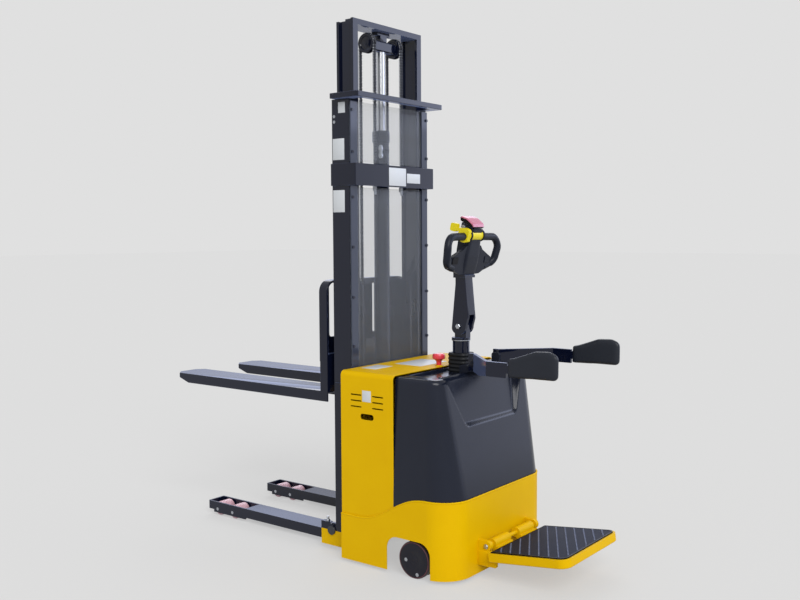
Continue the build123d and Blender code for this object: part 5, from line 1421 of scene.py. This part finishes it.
@dataclass
class RunningGear:
    """Legs, load wheels, casters and the drive wheel."""

    leg_y: float = 211.0
    load_x: Pair = (-866.0, -755.0)
    load_r: float = 35.0
    load_half: float = 38.0
    load_round: float = 5.0
    round_steps: int = 5
    load_end: Profile = ((8.2, 34.0), (14.0, 34.0), (14.0, 36.0), (20.0, 36.0), (21.0, 38.0))
    caster_place: Triple = (498.7, 348.0, 80.0)
    caster_tread: Profile = (
        (9.0, 12.0), (70.0, 12.0), (77.0, 14.0), (80.0, 19.0), (80.0, 33.0),
        (78.0, 37.5), (76.0, 38.5), (75.0, 35.0), (9.0, 35.0),
    )
    caster_rim: Profile = ((73.6, 34.0), (75.4, 34.0), (75.4, 38.8), (73.6, 39.2), (73.6, 34.0))
    caster_disc: Profile = (
        (9.0, 34.0), (73.6, 34.0), (73.6, 38.4), (70.6, 39.5), (34.0, 39.8),
        (31.0, 38.4), (16.0, 38.4), (14.0, 39.8), (9.0, 39.8),
    )
    caster_axle: Profile = ((9.0, -39.0), (9.0, 39.0))
    disc_bolts: tuple[Pair, ...] = ((-41.0, -4.0), (18.0, -59.0))
    disc_bolt_foot: float = 38.5
    disc_bolt_size: Pair = (15.0, 2.0)
    drive: Triple = (480.0, 0.0, 115.0)
    drive_profile: Profile = (
        (20.1, 28.0), (60.0, 28.0), (74.0, 30.0), (76.0, 38.0), (107.0, 38.0),
        (113.0, 35.0), (115.0, 29.0), (115.0, 5.0), (111.0, 3.0),
    )

    def build(self) -> None:
        """Makes the wheels and eases the legs."""
        black_steel("support_legs", "chassis", 3.0, 3)
        coat_nodes(Paint.STEEL, "load_wheel_axles")
        for side in Side:
            for place, x in zip(("front", "rear"), self.load_x):
                self.load_wheel(side, place, x)
            self.caster(side)
        self.drive_wheel()

    def load_wheel(self, side: Side, place: str, x: float) -> None:
        """A polyurethane roller: rounded tread edges, a groove round each end, a recessed bearing.

        Args:
            side: The leg that it is in.
            place: Whether it is the front or the rear one.
            x: Where its axle is.
        """
        radius, soft = self.load_r, self.load_round
        inner, level = radius - soft, self.load_half - soft
        turns = np.linspace(0, pi / 2, self.round_steps)
        edge = [(inner + soft * sin(turn), level + soft * cos(turn)) for turn in turns]
        profile = mirrored([*self.load_end, *edge])
        name = f"load_wheel_{side.word}_{place}"
        wheel = turned(profile, (x, side.value * self.leg_y, radius), ACROSS, sides=56)
        fit(f"{name}_roller", wheel, Paint.ROLLER, name, "wheel_red", name)

    def caster(self, side: Side) -> None:
        """Twin wheels and their fork: each wheel a dark tread, a thin red rim and a disc with two bolts.

        Args:
            side: The side that it is on.
        """
        x, y, z = self.caster_place
        y *= side.value
        treads, rims, discs = (
            joined(turned(profile, (x, y, z), face.outward, sides=72) for face in Side)
            for profile in (self.caster_tread, self.caster_rim, self.caster_disc)
        )
        discs += turned(self.caster_axle, (x, y, z), ACROSS, sides=32)
        bolts = []
        for face in Side:
            foot = y + face.value * self.disc_bolt_foot
            spots = [(x + ahead, foot, z + above) for ahead, above in self.disc_bolts]
            bolts.append(hex_heads(spots, face.outward, *self.disc_bolt_size))
        name = f"caster_wheels_{side.word}"
        fit(f"{name}_tread", treads, Paint.TREAD, name, "wheel_dark", name)
        fit(f"{name}_rim", rims, Paint.WHEEL_RED, name, "wheel_dark")
        fit(f"{name}_disc", discs, Paint.WHEEL_DARK, name, "wheel_dark")
        fit(f"{name}_bolts", joined(bolts), Paint.STEEL, name, "bare_steel")
        black_steel(f"caster_fork_{side.word}", f"caster_{side.word}", 2.0)

    def drive_wheel(self) -> None:
        """A wide tread bonded to a dished hub, with a shallow groove round its middle."""
        wheel = turned(mirrored(self.drive_profile), self.drive, ACROSS, sides=96)
        fit("drive_wheel_tyre", wheel, Paint.TYRE, "drive_wheel", "drive_tyre", "drive_wheel")


@dataclass
class PowerUnits:
    """The battery, the drive unit and the hydraulics under the covers."""

    def build(self) -> None:
        """Gives each unit its finish."""
        coat_nodes(Paint.CELLS, "battery_pack")
        coat_nodes(Paint.UNIT, "hydraulic_power_unit", "drive_motor")
        coat_nodes(Paint.CASE, "motor_controller")
        coat_nodes(Paint.IRON, "drive_gearbox")
        coat_nodes(Paint.STEEL, "slew_bearing")


@dataclass
class Controls:
    """The steering column's boot and fittings, and the emergency stop."""

    column_x: float = 480.0
    boot_r: float = 50.0
    boot_fold: float = 2.6
    boot_bore: float = 39.5
    boot_z: Pair = (838.0, 925.0)
    boot_rows: int = 81
    boot_sides: int = 80
    folds: int = 5
    fold_power: float = 1.5
    collar_z: float = 984.0
    collar_ring: Profile = ((40.0, -5.0), (42.6, -4.0), (42.6, -1.0), (40.0, 0.0), (40.0, -5.0))
    tilt: Triple = (488.0, 33.0, 1045.0)
    tilt_head_size: Pair = (22.0, 9.0)
    stop: Triple = (375.0, -25.0, 915.0)
    stop_neck: Profile = ((POLE, -87.0), (12.0, -87.0), (12.0, -39.0), (14.0, -34.0), (21.0, -25.0))
    stop_under: Triple = (25.0, -21.0, 4.0)
    stop_crown: Triple = (20.0, -10.0, 9.0)
    stop_top: Profile = ((10.0, -0.3), (POLE, 0.0))
    under_steps: int = 5
    crown_steps: int = 8

    def build(self) -> None:
        """Makes the boot, the column's bright fittings and the button."""
        fit("gaiter_boot", self.boot(), Paint.RUBBER, "chassis", "black_rubber", "gaiter")
        fit("column_fittings", self.fittings(), Paint.STEEL, "steering", "bare_steel")
        fit("estop_mushroom", self.mushroom(), Paint.RED, "estop", "red_plastic", "estop_button")

    def boot(self) -> Surface:
        """A squared bellows: r (cos^4 t + sin^4 t)^(-1/4) round the column, with cosine folds upwards.

        Returns:
            The closed surface.
        """
        low, high = self.boot_z
        height = np.linspace(low, high, self.boot_rows)
        wave = np.abs(np.cos(pi * self.folds * (height - low) / (high - low)))
        reach = (self.boot_r - self.boot_fold * wave**self.fold_power)[:, None]
        turn = np.linspace(0, 2 * pi, self.boot_sides, endpoint=False)
        square = (np.cos(turn) ** 4 + np.sin(turn) ** 4) ** -0.25
        bore = np.full((1, len(turn)), self.boot_bore)
        radius = np.concatenate([bore, reach * square, bore, bore])
        level = np.concatenate([[low], height, [high], [low]])[:, None]
        x = self.column_x + radius * np.cos(turn)
        return skin(np.stack(np.broadcast_arrays(x, radius * np.sin(turn), level), -1), caps=False)

    def fittings(self) -> Surface:
        """A ring round the column's collar and a bolt head on each end of the tilt pin.

        Returns:
            The fittings.
        """
        band = turned(self.collar_ring, (self.column_x, 0, self.collar_z), UP, sides=64)
        x, y, z = self.tilt
        size = self.tilt_head_size
        return band + joined(hex_heads([(x, side.value * y, z)], side.outward, *size) for side in Side)

    def mushroom(self) -> Surface:
        """A mushroom button: a stem, a flaring neck and a head with rounded edges, turned about its axis.

        Returns:
            The closed surface.
        """
        reach, level, bend = self.stop_under
        turns = np.linspace(0, pi / 2, self.under_steps)
        under = [(reach + bend * sin(turn), level - bend * cos(turn)) for turn in turns]
        reach, level, bend = self.stop_crown
        turns = np.linspace(0, pi / 2, self.crown_steps)
        crown = [(reach + bend * cos(turn), level + bend * sin(turn)) for turn in turns]
        outline = [*self.stop_neck, *under, *crown, *self.stop_top]
        return turned(outline, self.stop, UP, sides=56)


@dataclass
class Tiller:
    """The tiller arm and its head with two grip loops."""

    base: Triple = (500.0, 0.0, 1280.0)
    lean: float = 13.0
    grip_r: float = 17.0
    grip_top: float = 170.0
    grip_corners: tuple[Pair, ...] = ((207.0, 168.0), (186.0, 50.0), (118.0, 29.0), (40.0, 18.0))
    grip_bends: Triple = (46.0, 48.0, 60.0)
    grip_bow: tuple[Pair, ...] = (
        (18.0, -8.0), (27.0, -2.0), (38.0, 8.0), (55.0, 16.0), (81.0, 20.0),
        (110.0, 22.0), (132.0, 18.0), (154.0, 10.0), (172.0, 5.0),
    )
    grip_starts: dict[Side, float] = field(default_factory=lambda: {Side.LEFT: 77.0, Side.RIGHT: 54.5})
    grip_steps: int = 140
    bow_reach: int = 10
    web_depth: Pair = (3.0, 20.0)
    web_outline: tuple[Pair, ...] = (
        (20.0, 0.0), (80.0, 3.0), (125.0, 24.0), (172.0, 58.0),
        (150.0, 80.0), (76.0, 113.0), (56.0, 132.0), (20.0, 132.0),
    )
    web_bend: float = 9.0
    key: Quad = (127.0, 66.0, 21.5, 15.5)
    key_floor: float = 12.0
    key_round: float = 1.5
    web_ease: float = 3.0
    spine_rear: tuple[Pair, ...] = ((0.0, 22.0), (50.0, 27.0), (90.0, 28.0), (150.0, 26.0), (206.0, 27.0))
    spine_front: tuple[Pair, ...] = ((0.0, -38.0), (70.0, -34.0), (150.0, -44.0), (224.0, -44.0))
    spine_half: tuple[Pair, ...] = ((0.0, 53.0), (100.0, 53.0), (176.0, 42.0), (224.0, 42.0))
    spine_top: Pair = (224.0, 206.0)
    spine_rows: int = 49
    spine_sides: int = 96
    squareness: float = 0.26
    post: tuple[Triple, Triple] = ((-20.0, -16.0, 195.0), (6.0, 16.0, 220.0))
    post_round: float = 1.0
    axle: Quad = (6.0, 176.0, 8.0, 82.0)
    drum_r: float = 26.0
    collar: Quad = (25.6, 28.2, 42.5, 53.2)
    horn: Triple = (-27.0, 204.0, 11.5)
    horn_room: Pair = (9.0, 8.0)
    wing_y: float = 53.6
    wing_cuts: tuple[Pair, Pair] = ((-110.0, 70.0), (28.0, 70.0))
    cut_far: float = 90.0
    cut_z: Pair = (90.0, 270.0)
    cut_round: float = 1.0
    cap_crown: tuple[Pair, ...] = (
        (29.0, 219.0), (20.0, 232.0), (-14.0, 249.0), (-44.0, 252.0), (-54.0, 244.0)
    )
    cap_bends: Triple = (14.0, 30.0, 10.0)
    cap_half: float = 46.0
    cap_thick: float = 9.0
    cap_powers: Pair = (0.2, 0.55)
    cap_end: Pair = (0.8, 0.25)
    cap_least: Pair = (0.8, 0.4)
    cap_sides: int = 64

    def to_frame(self, shape: Surface) -> Surface:
        """Turns depth, Y and height in the head's leaning frame into the machine's frame.

        Args:
            shape: The shape in the head's frame.

        Returns:
            The turned shape.
        """
        lean = radians(self.lean)
        rows = np.array([[cos(lean), 0, -sin(lean)], [0, 1, 0], [sin(lean), 0, cos(lean)]])
        return Surface(shape.points @ rows + np.array(self.base), shape.faces)

    def build(self) -> None:
        """Makes the head and eases the arm, the throttle and the buttons."""
        black_steel("tiller_arm", "tiller", 4.0, 3)
        black_steel("steering_column", "steering", 2.0)
        yellow, rooms = Paint.YELLOW_PLASTIC, self.throttle_rooms()
        Eased("throttle", "throttle", "yellow_plastic", yellow, 2.5, 3, rooms).build()
        Eased("belly_button", "belly_button", "red_plastic", Paint.KEY, 4.0, 3).build()
        Eased("lift_button", "lift_button", "black_plastic", Paint.KEY, 1.5).build()
        Eased("lower_button", "lower_button", "black_plastic", Paint.BLACK_PLASTIC, 1.5).build()
        coat_nodes(Paint.GREY_PLASTIC, "horn_button")
        cap = build_piece("belly_button_cap", self.to_frame(self.cap()), Paint.CAP_RED, SHARP_SHELL)
        settle(cap, "belly_button", "red_plastic")
        spine = self.to_frame(self.spine())
        head = build_piece("tiller_head_shell", spine, Paint.BLACK_PLASTIC, SHARP_MOULDED)
        carve(head, self.to_frame(self.bores()))
        settle(head, "tiller", "black_plastic", "tiller_head")
        fit("throttle_axle", self.to_frame(self.rod()), Paint.STEEL, "tiller", "bare_steel")
        fit("throttle_collars", self.to_frame(self.collars()), Paint.KEY, "tiller", "black_plastic")
        for side in Side:
            loop = self.to_frame(self.grip(side))
            grip = build_piece(f"tiller_grip_{side.word}", loop, Paint.BLACK_PLASTIC, SHARP_MOULDED)
            settle(grip, "tiller", "black_plastic")
            web = build_piece(f"tiller_web_{side.word}", self.to_frame(self.web(side)), Paint.BLACK_PLASTIC)
            carve(web, self.to_frame(self.key_room(side)))
            add_bevel(web, self.web_ease, 3)
            settle(web, "tiller", "black_plastic")

    def spine(self) -> Surface:
        """The middle of the head: rounded rectangles, powers of cosine and sine, up to a sloping top.

        Returns:
            The middle and the post on it.
        """
        share = np.linspace(0, 1, self.spine_rows)[:, None]
        level = share * sum(self.spine_top) / 2
        curves = (self.spine_rear, self.spine_front, self.spine_half)
        rear, front, half = (np.interp(level, *np.array(curve).T) for curve in curves)
        deep, across = squared_ring(self.spine_sides, self.squareness, self.squareness)
        depth = (front + rear) / 2 + (rear - front) / 2 * deep
        start, end = self.spine_front[-1][1], self.spine_rear[-1][1]
        top = self.spine_top[0] + (self.spine_top[1] - self.spine_top[0]) * (depth - start) / (end - start)
        shell = skin(np.stack([depth, half * across, top * share], -1))
        return shell + rounded_box(*self.post, self.post_round)

    def cap(self) -> Surface:
        """A bowed cap: rounded rectangles carried along the crown and drawn in at both its ends.

        Returns:
            The closed surface.
        """
        path = rounded_path(self.cap_crown, self.cap_bends, steps=10)
        along = tangents(path)
        start, length = self.cap_end
        share = np.abs(np.linspace(-1, 1, len(path)))
        drawn = np.sqrt(1 - np.clip((share - start) / length, 0, 1) ** 2)[:, None]
        across, deep = squared_ring(self.cap_sides, *self.cap_powers)
        wide, thick = (least + (1 - least) * drawn for least in self.cap_least)
        y = self.cap_half * wide * across
        offset = self.cap_thick / 2 * (deep * thick - 1)
        depth = path[:, :1] + along[:, 1:] * offset
        height = path[:, 1:] - along[:, :1] * offset
        return skin(np.stack([depth, y, height], -1))

    def throttle_rooms(self) -> tuple[Surface, ...]:
        """What the throttle loses: its right end, where the grip reaches in, and the left wing's back.

        Returns:
            The two rooms.
        """
        (right_0, right_1), (left_0, left_1) = self.wing_cuts
        near, far = self.wing_y, self.cut_far
        low, high = self.cut_z
        right = rounded_box((right_0, near, low), (right_1, far, high), self.cut_round)
        left = rounded_box((left_0, -far, low), (left_1, -near, high), self.cut_round)
        return self.to_frame(right), self.to_frame(left)

    def bores(self) -> Surface:
        """What is cut from the middle of the head: the throttle drum's room and the horn button's.

        Returns:
            Both rooms.
        """
        depth, height, _, half = self.axle
        drum = turned([(self.drum_r, -half), (self.drum_r, half)], (depth, 0, height), ACROSS, sides=64)
        horn_depth, horn_height, horn_r = self.horn
        side = -self.spine_half[-1][1]
        out, sunk = self.horn_room
        pocket = [(horn_r, side - out), (horn_r, side + sunk)]
        return drum + turned(pocket, (horn_depth, 0, horn_height), ACROSS, sides=40)

    def rod(self) -> Surface:
        """The rod that the throttle turns on."""
        depth, height, radius, half = self.axle
        return turned([(radius, -half), (radius, half)], (depth, 0, height), ACROSS, sides=24)

    def collars(self) -> Surface:
        """A ring on each side of the head that the throttle's drum turns in.

        Returns:
            The two rings.
        """
        depth, height = self.axle[:2]
        inner, outer, near, far = self.collar
        ring = [(inner, near), (outer, near), (outer, far), (inner, far), (inner, near)]
        return joined(turned(ring, (depth, 0, height), side.outward, sides=48) for side in Side)

    def grip(self, side: Side) -> Surface:
        """A round bar bent into a loop: a circle carried along runs and arcs that bow to the operator.

        Args:
            side: The side that it is on.

        Returns:
            The closed tube.
        """
        start = (self.grip_starts[side], self.grip_top)
        route = rounded_path((start, *self.grip_corners), self.grip_bends, steps=20)
        steps = np.linspace(0, len(route) - 1, self.grip_steps)
        reach, height = (np.interp(steps, np.arange(len(route)), column) for column in route.T)
        bow = np.interp(height, *np.array(self.grip_bow).T)
        window = 2 * self.bow_reach + 1
        bow = np.convolve(np.pad(bow, self.bow_reach, mode="edge"), np.full(window, 1 / window), mode="valid")
        return carried(np.stack([bow, side.value * reach, height], -1), self.grip_r, ALONG, sides=28)

    def web(self, side: Side) -> Surface:
        """A shield-shaped web: its outline, with rounded corners, carried through its thickness.

        Args:
            side: The side that it is on.

        Returns:
            The closed surface.
        """
        outline = rounded_path(self.web_outline, [self.web_bend] * (len(self.web_outline) - 2), steps=6)
        depth = np.array(self.web_depth)[:, None]
        return skin(np.stack(np.broadcast_arrays(depth, side.value * outline[:, 0], outline[:, 1]), -1))

    def key_room(self, side: Side) -> Surface:
        """The pocket that a key sinks into.

        Args:
            side: The side that it is on.

        Returns:
            The room to cut out.
        """
        reach, height, wide, tall = self.key
        y = side.value * reach
        low = (self.key_floor, y - wide, height - tall)
        high = (2 * self.web_depth[1], y + wide, height + tall)
        return rounded_box(low, high, self.key_round)


@dataclass
class GuardArms:
    """Two folding arms with foam pads."""

    pad_y: float = 277.0
    pad_half: float = 15.0
    outline: tuple[Pair, ...] = (
        (892.0, 877.0), (1118.0, 884.0), (1120.0, 980.0), (1083.0, 998.0), (1021.0, 998.0), (892.0, 954.0),
    )
    bends: tuple[float, ...] = (8.0, 20.0, 24.0, 60.0, 90.0, 8.0)
    middle_shift: Pair = (10.0, -4.0)
    edge_draw: float = 0.13
    edge_lift: Pair = (0.3, 0.62)
    crown_lift: Pair = (0.92, 0.08)
    rings: int = 7
    bend_steps: int = 12
    shrink: float = 1.5
    voxel_mm: float = 5.0
    frames: int = 20
    pressure: float = 4.0
    stiffness: float = 40.0
    most_mm: float = 3.0
    smooth_share: float = 0.5
    smooth_rounds: int = 6

    def build(self) -> None:
        """Eases the arms and stuffs the pads."""
        for side in Side:
            black_steel(f"arm_{side.word}", f"arm_{side.word}", 2.5)
            pad = build_piece(f"pad_{side.word}_foam", self.pad(side), Paint.FOAM, SHARP_SOFT)
            self.stuff(pad)
            settle(pad, f"arm_{side.word}", "pad_foam", f"pad_{side.word}")

    def pad(self, side: Side) -> Surface:
        """A crowned slab: the outline drawn in over each face by the rule of a quarter ellipse.

        Args:
            side: The side that it is on.

        Returns:
            The closed surface.
        """
        corners = np.asarray(self.outline)
        start = (corners[-1] + corners[0]) / 2
        route = np.concatenate([[start], corners, [start]])
        rim = rounded_path(route, self.bends, self.bend_steps)[:-1]
        middle = corners.mean(0) + self.middle_shift
        half = self.pad_half - self.shrink
        turn = np.linspace(0, pi / 2, self.rings)
        crown = np.linspace(0, 1, self.rings)[1:]
        edge = rim + (middle - rim) * (self.edge_draw * (1 - np.cos(turn)))[:, None, None]
        top = edge[-1] + (middle - edge[-1]) * crown[:, None, None]
        plan = np.concatenate([edge, top])
        edge_least, edge_more = self.edge_lift
        crown_least, crown_more = self.crown_lift
        lift = half * (edge_least + edge_more * np.sin(turn))
        height = half * (crown_least + crown_more * np.sin(pi / 2 * crown))
        level = np.broadcast_to(np.concatenate([lift, height])[:, None], plan.shape[:2])
        faces = []
        for face in (-1, 1):
            y = side.value * self.pad_y + face * level
            faces.append(np.stack([plan[..., 0], y, plan[..., 1]], -1))
        return skin(np.concatenate([faces[0][::-1], faces[1]]))

    def stuff(self, pad: Piece) -> None:
        """Swells the pad under its skin by a short cloth simulation, and keeps the result.

        Args:
            pad: The pad, which is remeshed, inflated with a cap on how far a point moves, and smoothed.
        """
        scene = bpy.context.scene
        remesh = pad.modifiers.new("even", "REMESH")
        remesh.mode = "VOXEL"
        remesh.voxel_size = self.voxel_mm * MM
        freeze(pad)
        before = np.zeros(3 * len(pad.data.vertices))
        pad.data.vertices.foreach_get("co", before)
        cloth = pad.modifiers.new("skin", "CLOTH")
        cloth.settings.use_pressure = True
        cloth.settings.uniform_pressure_force = self.pressure
        cloth.settings.effector_weights.gravity = 0
        cloth.settings.tension_stiffness = self.stiffness
        cloth.settings.compression_stiffness = self.stiffness
        cloth.point_cache.frame_end = self.frames
        for step in range(1, self.frames + 1):
            scene.frame_set(step)
        freeze(pad)
        scene.frame_set(1)
        after = np.zeros_like(before)
        pad.data.vertices.foreach_get("co", after)
        move = (after - before).reshape(-1, 3)
        length = np.linalg.norm(move, axis=1, keepdims=True)
        move *= np.minimum(1, self.most_mm * MM / np.maximum(length, 1e-9))
        pad.data.vertices.foreach_set("co", (before.reshape(-1, 3) + move).ravel())
        smooth = pad.modifiers.new("even out", "SMOOTH")
        smooth.factor = self.smooth_share
        smooth.iterations = self.smooth_rounds
        freeze(pad)
        pad.data.polygons.foreach_set("use_smooth", np.ones(len(pad.data.polygons), bool))
        round_off = pad.modifiers.new("round", "SUBSURF")
        round_off.levels = 1
        round_off.render_levels = 1


@dataclass
class Platform:
    """The folding platform with its ribbed mat."""

    hinge: Pair = (744.0, 140.0)
    tilt: float = 7.0
    drop: float = 19.0
    thick: float = 4.0
    proud: float = 5.0
    half: float = 229.0
    start: float = 37.0
    end: float = 385.0
    corner: float = 34.0
    sunk: float = 0.8
    rib_mm: float = 2.2
    rib_pitch: float = 45.0
    rib_width: float = 7.0
    rib_slant: float = 0.57
    rib_soft: float = 2.0
    dash: Pair = (24.0, 14.0)
    border: float = 10.0
    border_inset: Pair = (-0.3, 7.0)
    border_foot: float = -3.0
    grid_mm: float = 1.7
    grid_slack: float = 0.1
    corner_steps: int = 14
    pin_half: float = 208.0
    pin_dome: Profile = ((POLE, -3.0), (10.3, -3.0), (10.3, 1.0), (8.0, 3.0), (POLE, 3.5))
    bracket_y: Pair = (180.0, 205.0)
    bracket_boxes: tuple[Quad, ...] = ((700.0, 762.0, 52.0, 120.0), (700.0, 790.0, 52.0, 82.0))
    bracket_round: float = 5.0

    def build(self) -> None:
        """Eases the frame, caps the hinge pin and lays the mat."""
        yellow_steel("platform_frame", "platform", 3.0, 3)
        yellow_steel("platform_hinge", "chassis", 1.5)
        fit("hinge_pin_ends", self.pin_ends(), Paint.STEEL, "chassis", "bare_steel")
        fit("hinge_brackets", self.brackets(), Paint.YELLOW, "chassis", "yellow_paint")
        self.mat()
        fit("platform_mat_border", self.border_strip(), Paint.KEY, "platform", "mat_rubber")

    def pin_ends(self) -> Surface:
        """A domed cap on each end of the hinge pin, turned about its axis.

        Returns:
            The two caps.
        """
        x, z = self.hinge
        y, dome = self.pin_half, self.pin_dome
        return joined(turned(dome, (x, side.value * y, z), side.outward, sides=32) for side in Side)

    def brackets(self) -> Surface:
        """Welded brackets under the hinge lugs, an upright and a foot on each side, with rounded edges.

        Returns:
            The brackets.
        """
        boxes = []
        for side in Side:
            low_y, high_y = sorted(side.value * y for y in self.bracket_y)
            # The foot is one millimetre shy of the upright's faces.
            for shy, (x0, x1, z0, z1) in enumerate(self.bracket_boxes):
                low, high = (x0, low_y + shy, z0 + shy), (x1, high_y - shy, z1)
                boxes.append(rounded_box(low, high, self.bracket_round))
        return joined(boxes)

    def deck_outline(self, inset: float) -> Array:
        """The mat's outline drawn in by an inset, as points along and across the deck.

        Args:
            inset: How far it is drawn in.

        Returns:
            The outline's points.
        """
        near, far, half = self.start + inset, self.end - inset, self.half - inset
        turn = np.linspace(0, pi / 2, self.corner_steps)
        radius = self.corner - inset
        arc = np.stack([far - radius + radius * np.cos(turn), half - radius + radius * np.sin(turn)], -1)
        right = np.concatenate([arc, [[near, half]]])
        return np.concatenate([right, (right * [1, -1])[::-1]])

    def border_strip(self) -> Surface:
        """A dark raised edge round the mat: a low rectangle carried round its outline.

        Returns:
            The closed strip.
        """
        outer, inner = self.border_inset
        low, high = self.border_foot, self.proud
        rows = []
        for inset, rise in ((outer, low), (outer, high), (inner, high), (inner, low), (outer, low)):
            plan = self.deck_outline(inset)
            rows.append(np.column_stack([plan, np.full(len(plan), rise - self.drop)]))
        return self.on_deck(skin(np.stack(rows), caps=False))

    def on_deck(self, shape: Surface) -> Surface:
        """Turns points along, across and above the deck into the machine's frame.

        Args:
            shape: The shape in the deck's frame.

        Returns:
            The turned shape.
        """
        along, across, rise = shape.points.T
        tilt = radians(self.tilt)
        x = self.hinge[0] + along * cos(tilt) - rise * sin(tilt)
        z = self.hinge[1] + along * sin(tilt) + rise * cos(tilt)
        return Surface(np.stack([x, across, z], -1), shape.faces)

    def mat(self) -> None:
        """A rubber sheet with slanting broken ribs: height from the distance to the nearest rib."""
        along = np.arange(self.start, self.end + self.grid_slack, self.grid_mm)
        over = np.linspace(-1, 1, int(2 * self.half / self.grid_mm))
        a = np.broadcast_to(along[:, None], (len(along), len(over)))
        beyond = np.clip(a - (self.end - self.corner), 0, self.corner)
        reach = self.half - self.corner + np.sqrt(np.maximum(self.corner**2 - beyond**2, 1.0))
        b = over * reach
        edge = np.minimum(np.minimum(a - self.start, self.end - a), reach - np.abs(b))
        raised = self.ribs(a, b) * smooth_step(edge, self.border - self.rib_soft, self.border + self.rib_soft)
        rise = self.proud - self.drop - self.sunk + raised * self.rib_mm
        rise[[0, -1], :] = -self.drop - self.thick
        rise[:, [0, -1]] = -self.drop - self.thick
        surface = self.on_deck(skin(np.stack([a, b, rise], -1), wrap=False, caps=False))
        mesh = bpy.data.meshes.new("platform_mat_ribbed")
        mesh.from_pydata((surface.points * MM).tolist(), [], surface.faces)
        mark = mesh.attributes.new("raised", "FLOAT", "POINT")
        mark.data.foreach_set("value", raised.ravel().astype(np.float32))
        piece = finish_mesh("platform_mat_ribbed", mesh, Paint.MAT, SHARP_SOFT)
        settle(piece, "platform", "mat_rubber", "platform_mat")

    def ribs(self, a: Array, b: Array) -> Array:
        """The ribs' height, nought to one: parallel slanting lines, broken into dashes with soft ends.

        Args:
            a: Each point's place along the deck.
            b: Each point's place across it.

        Returns:
            The height at each point.
        """
        pitch, soft = self.rib_pitch, self.rib_soft
        beside = np.abs((a + self.rib_slant * b + pitch / 2) % pitch - pitch / 2)
        period, length = self.dash
        along = np.abs((b - self.rib_slant * a + period / 2) % period - period / 2)
        line = smooth_step((self.rib_width + soft) / 2 - beside, 0, soft)
        return line * smooth_step((length + soft) / 2 - along, 0, soft)


def main() -> None:
    """Builds the studio and the machine, piece by piece."""
    logging.basicConfig(level=logging.INFO, format="%(name)s: %(message)s")
    Studio().build()
    for assembly in (
        Body(),
        Hood(),
        Mast(),
        LiftChains(),
        ForkCarriage(),
        RunningGear(),
        PowerUnits(),
        Controls(),
        Tiller(),
        GuardArms(),
        Platform(),
    ):
        assembly.build()
    bpy.context.view_layer.update()


if __name__ == "__main__":
    main()
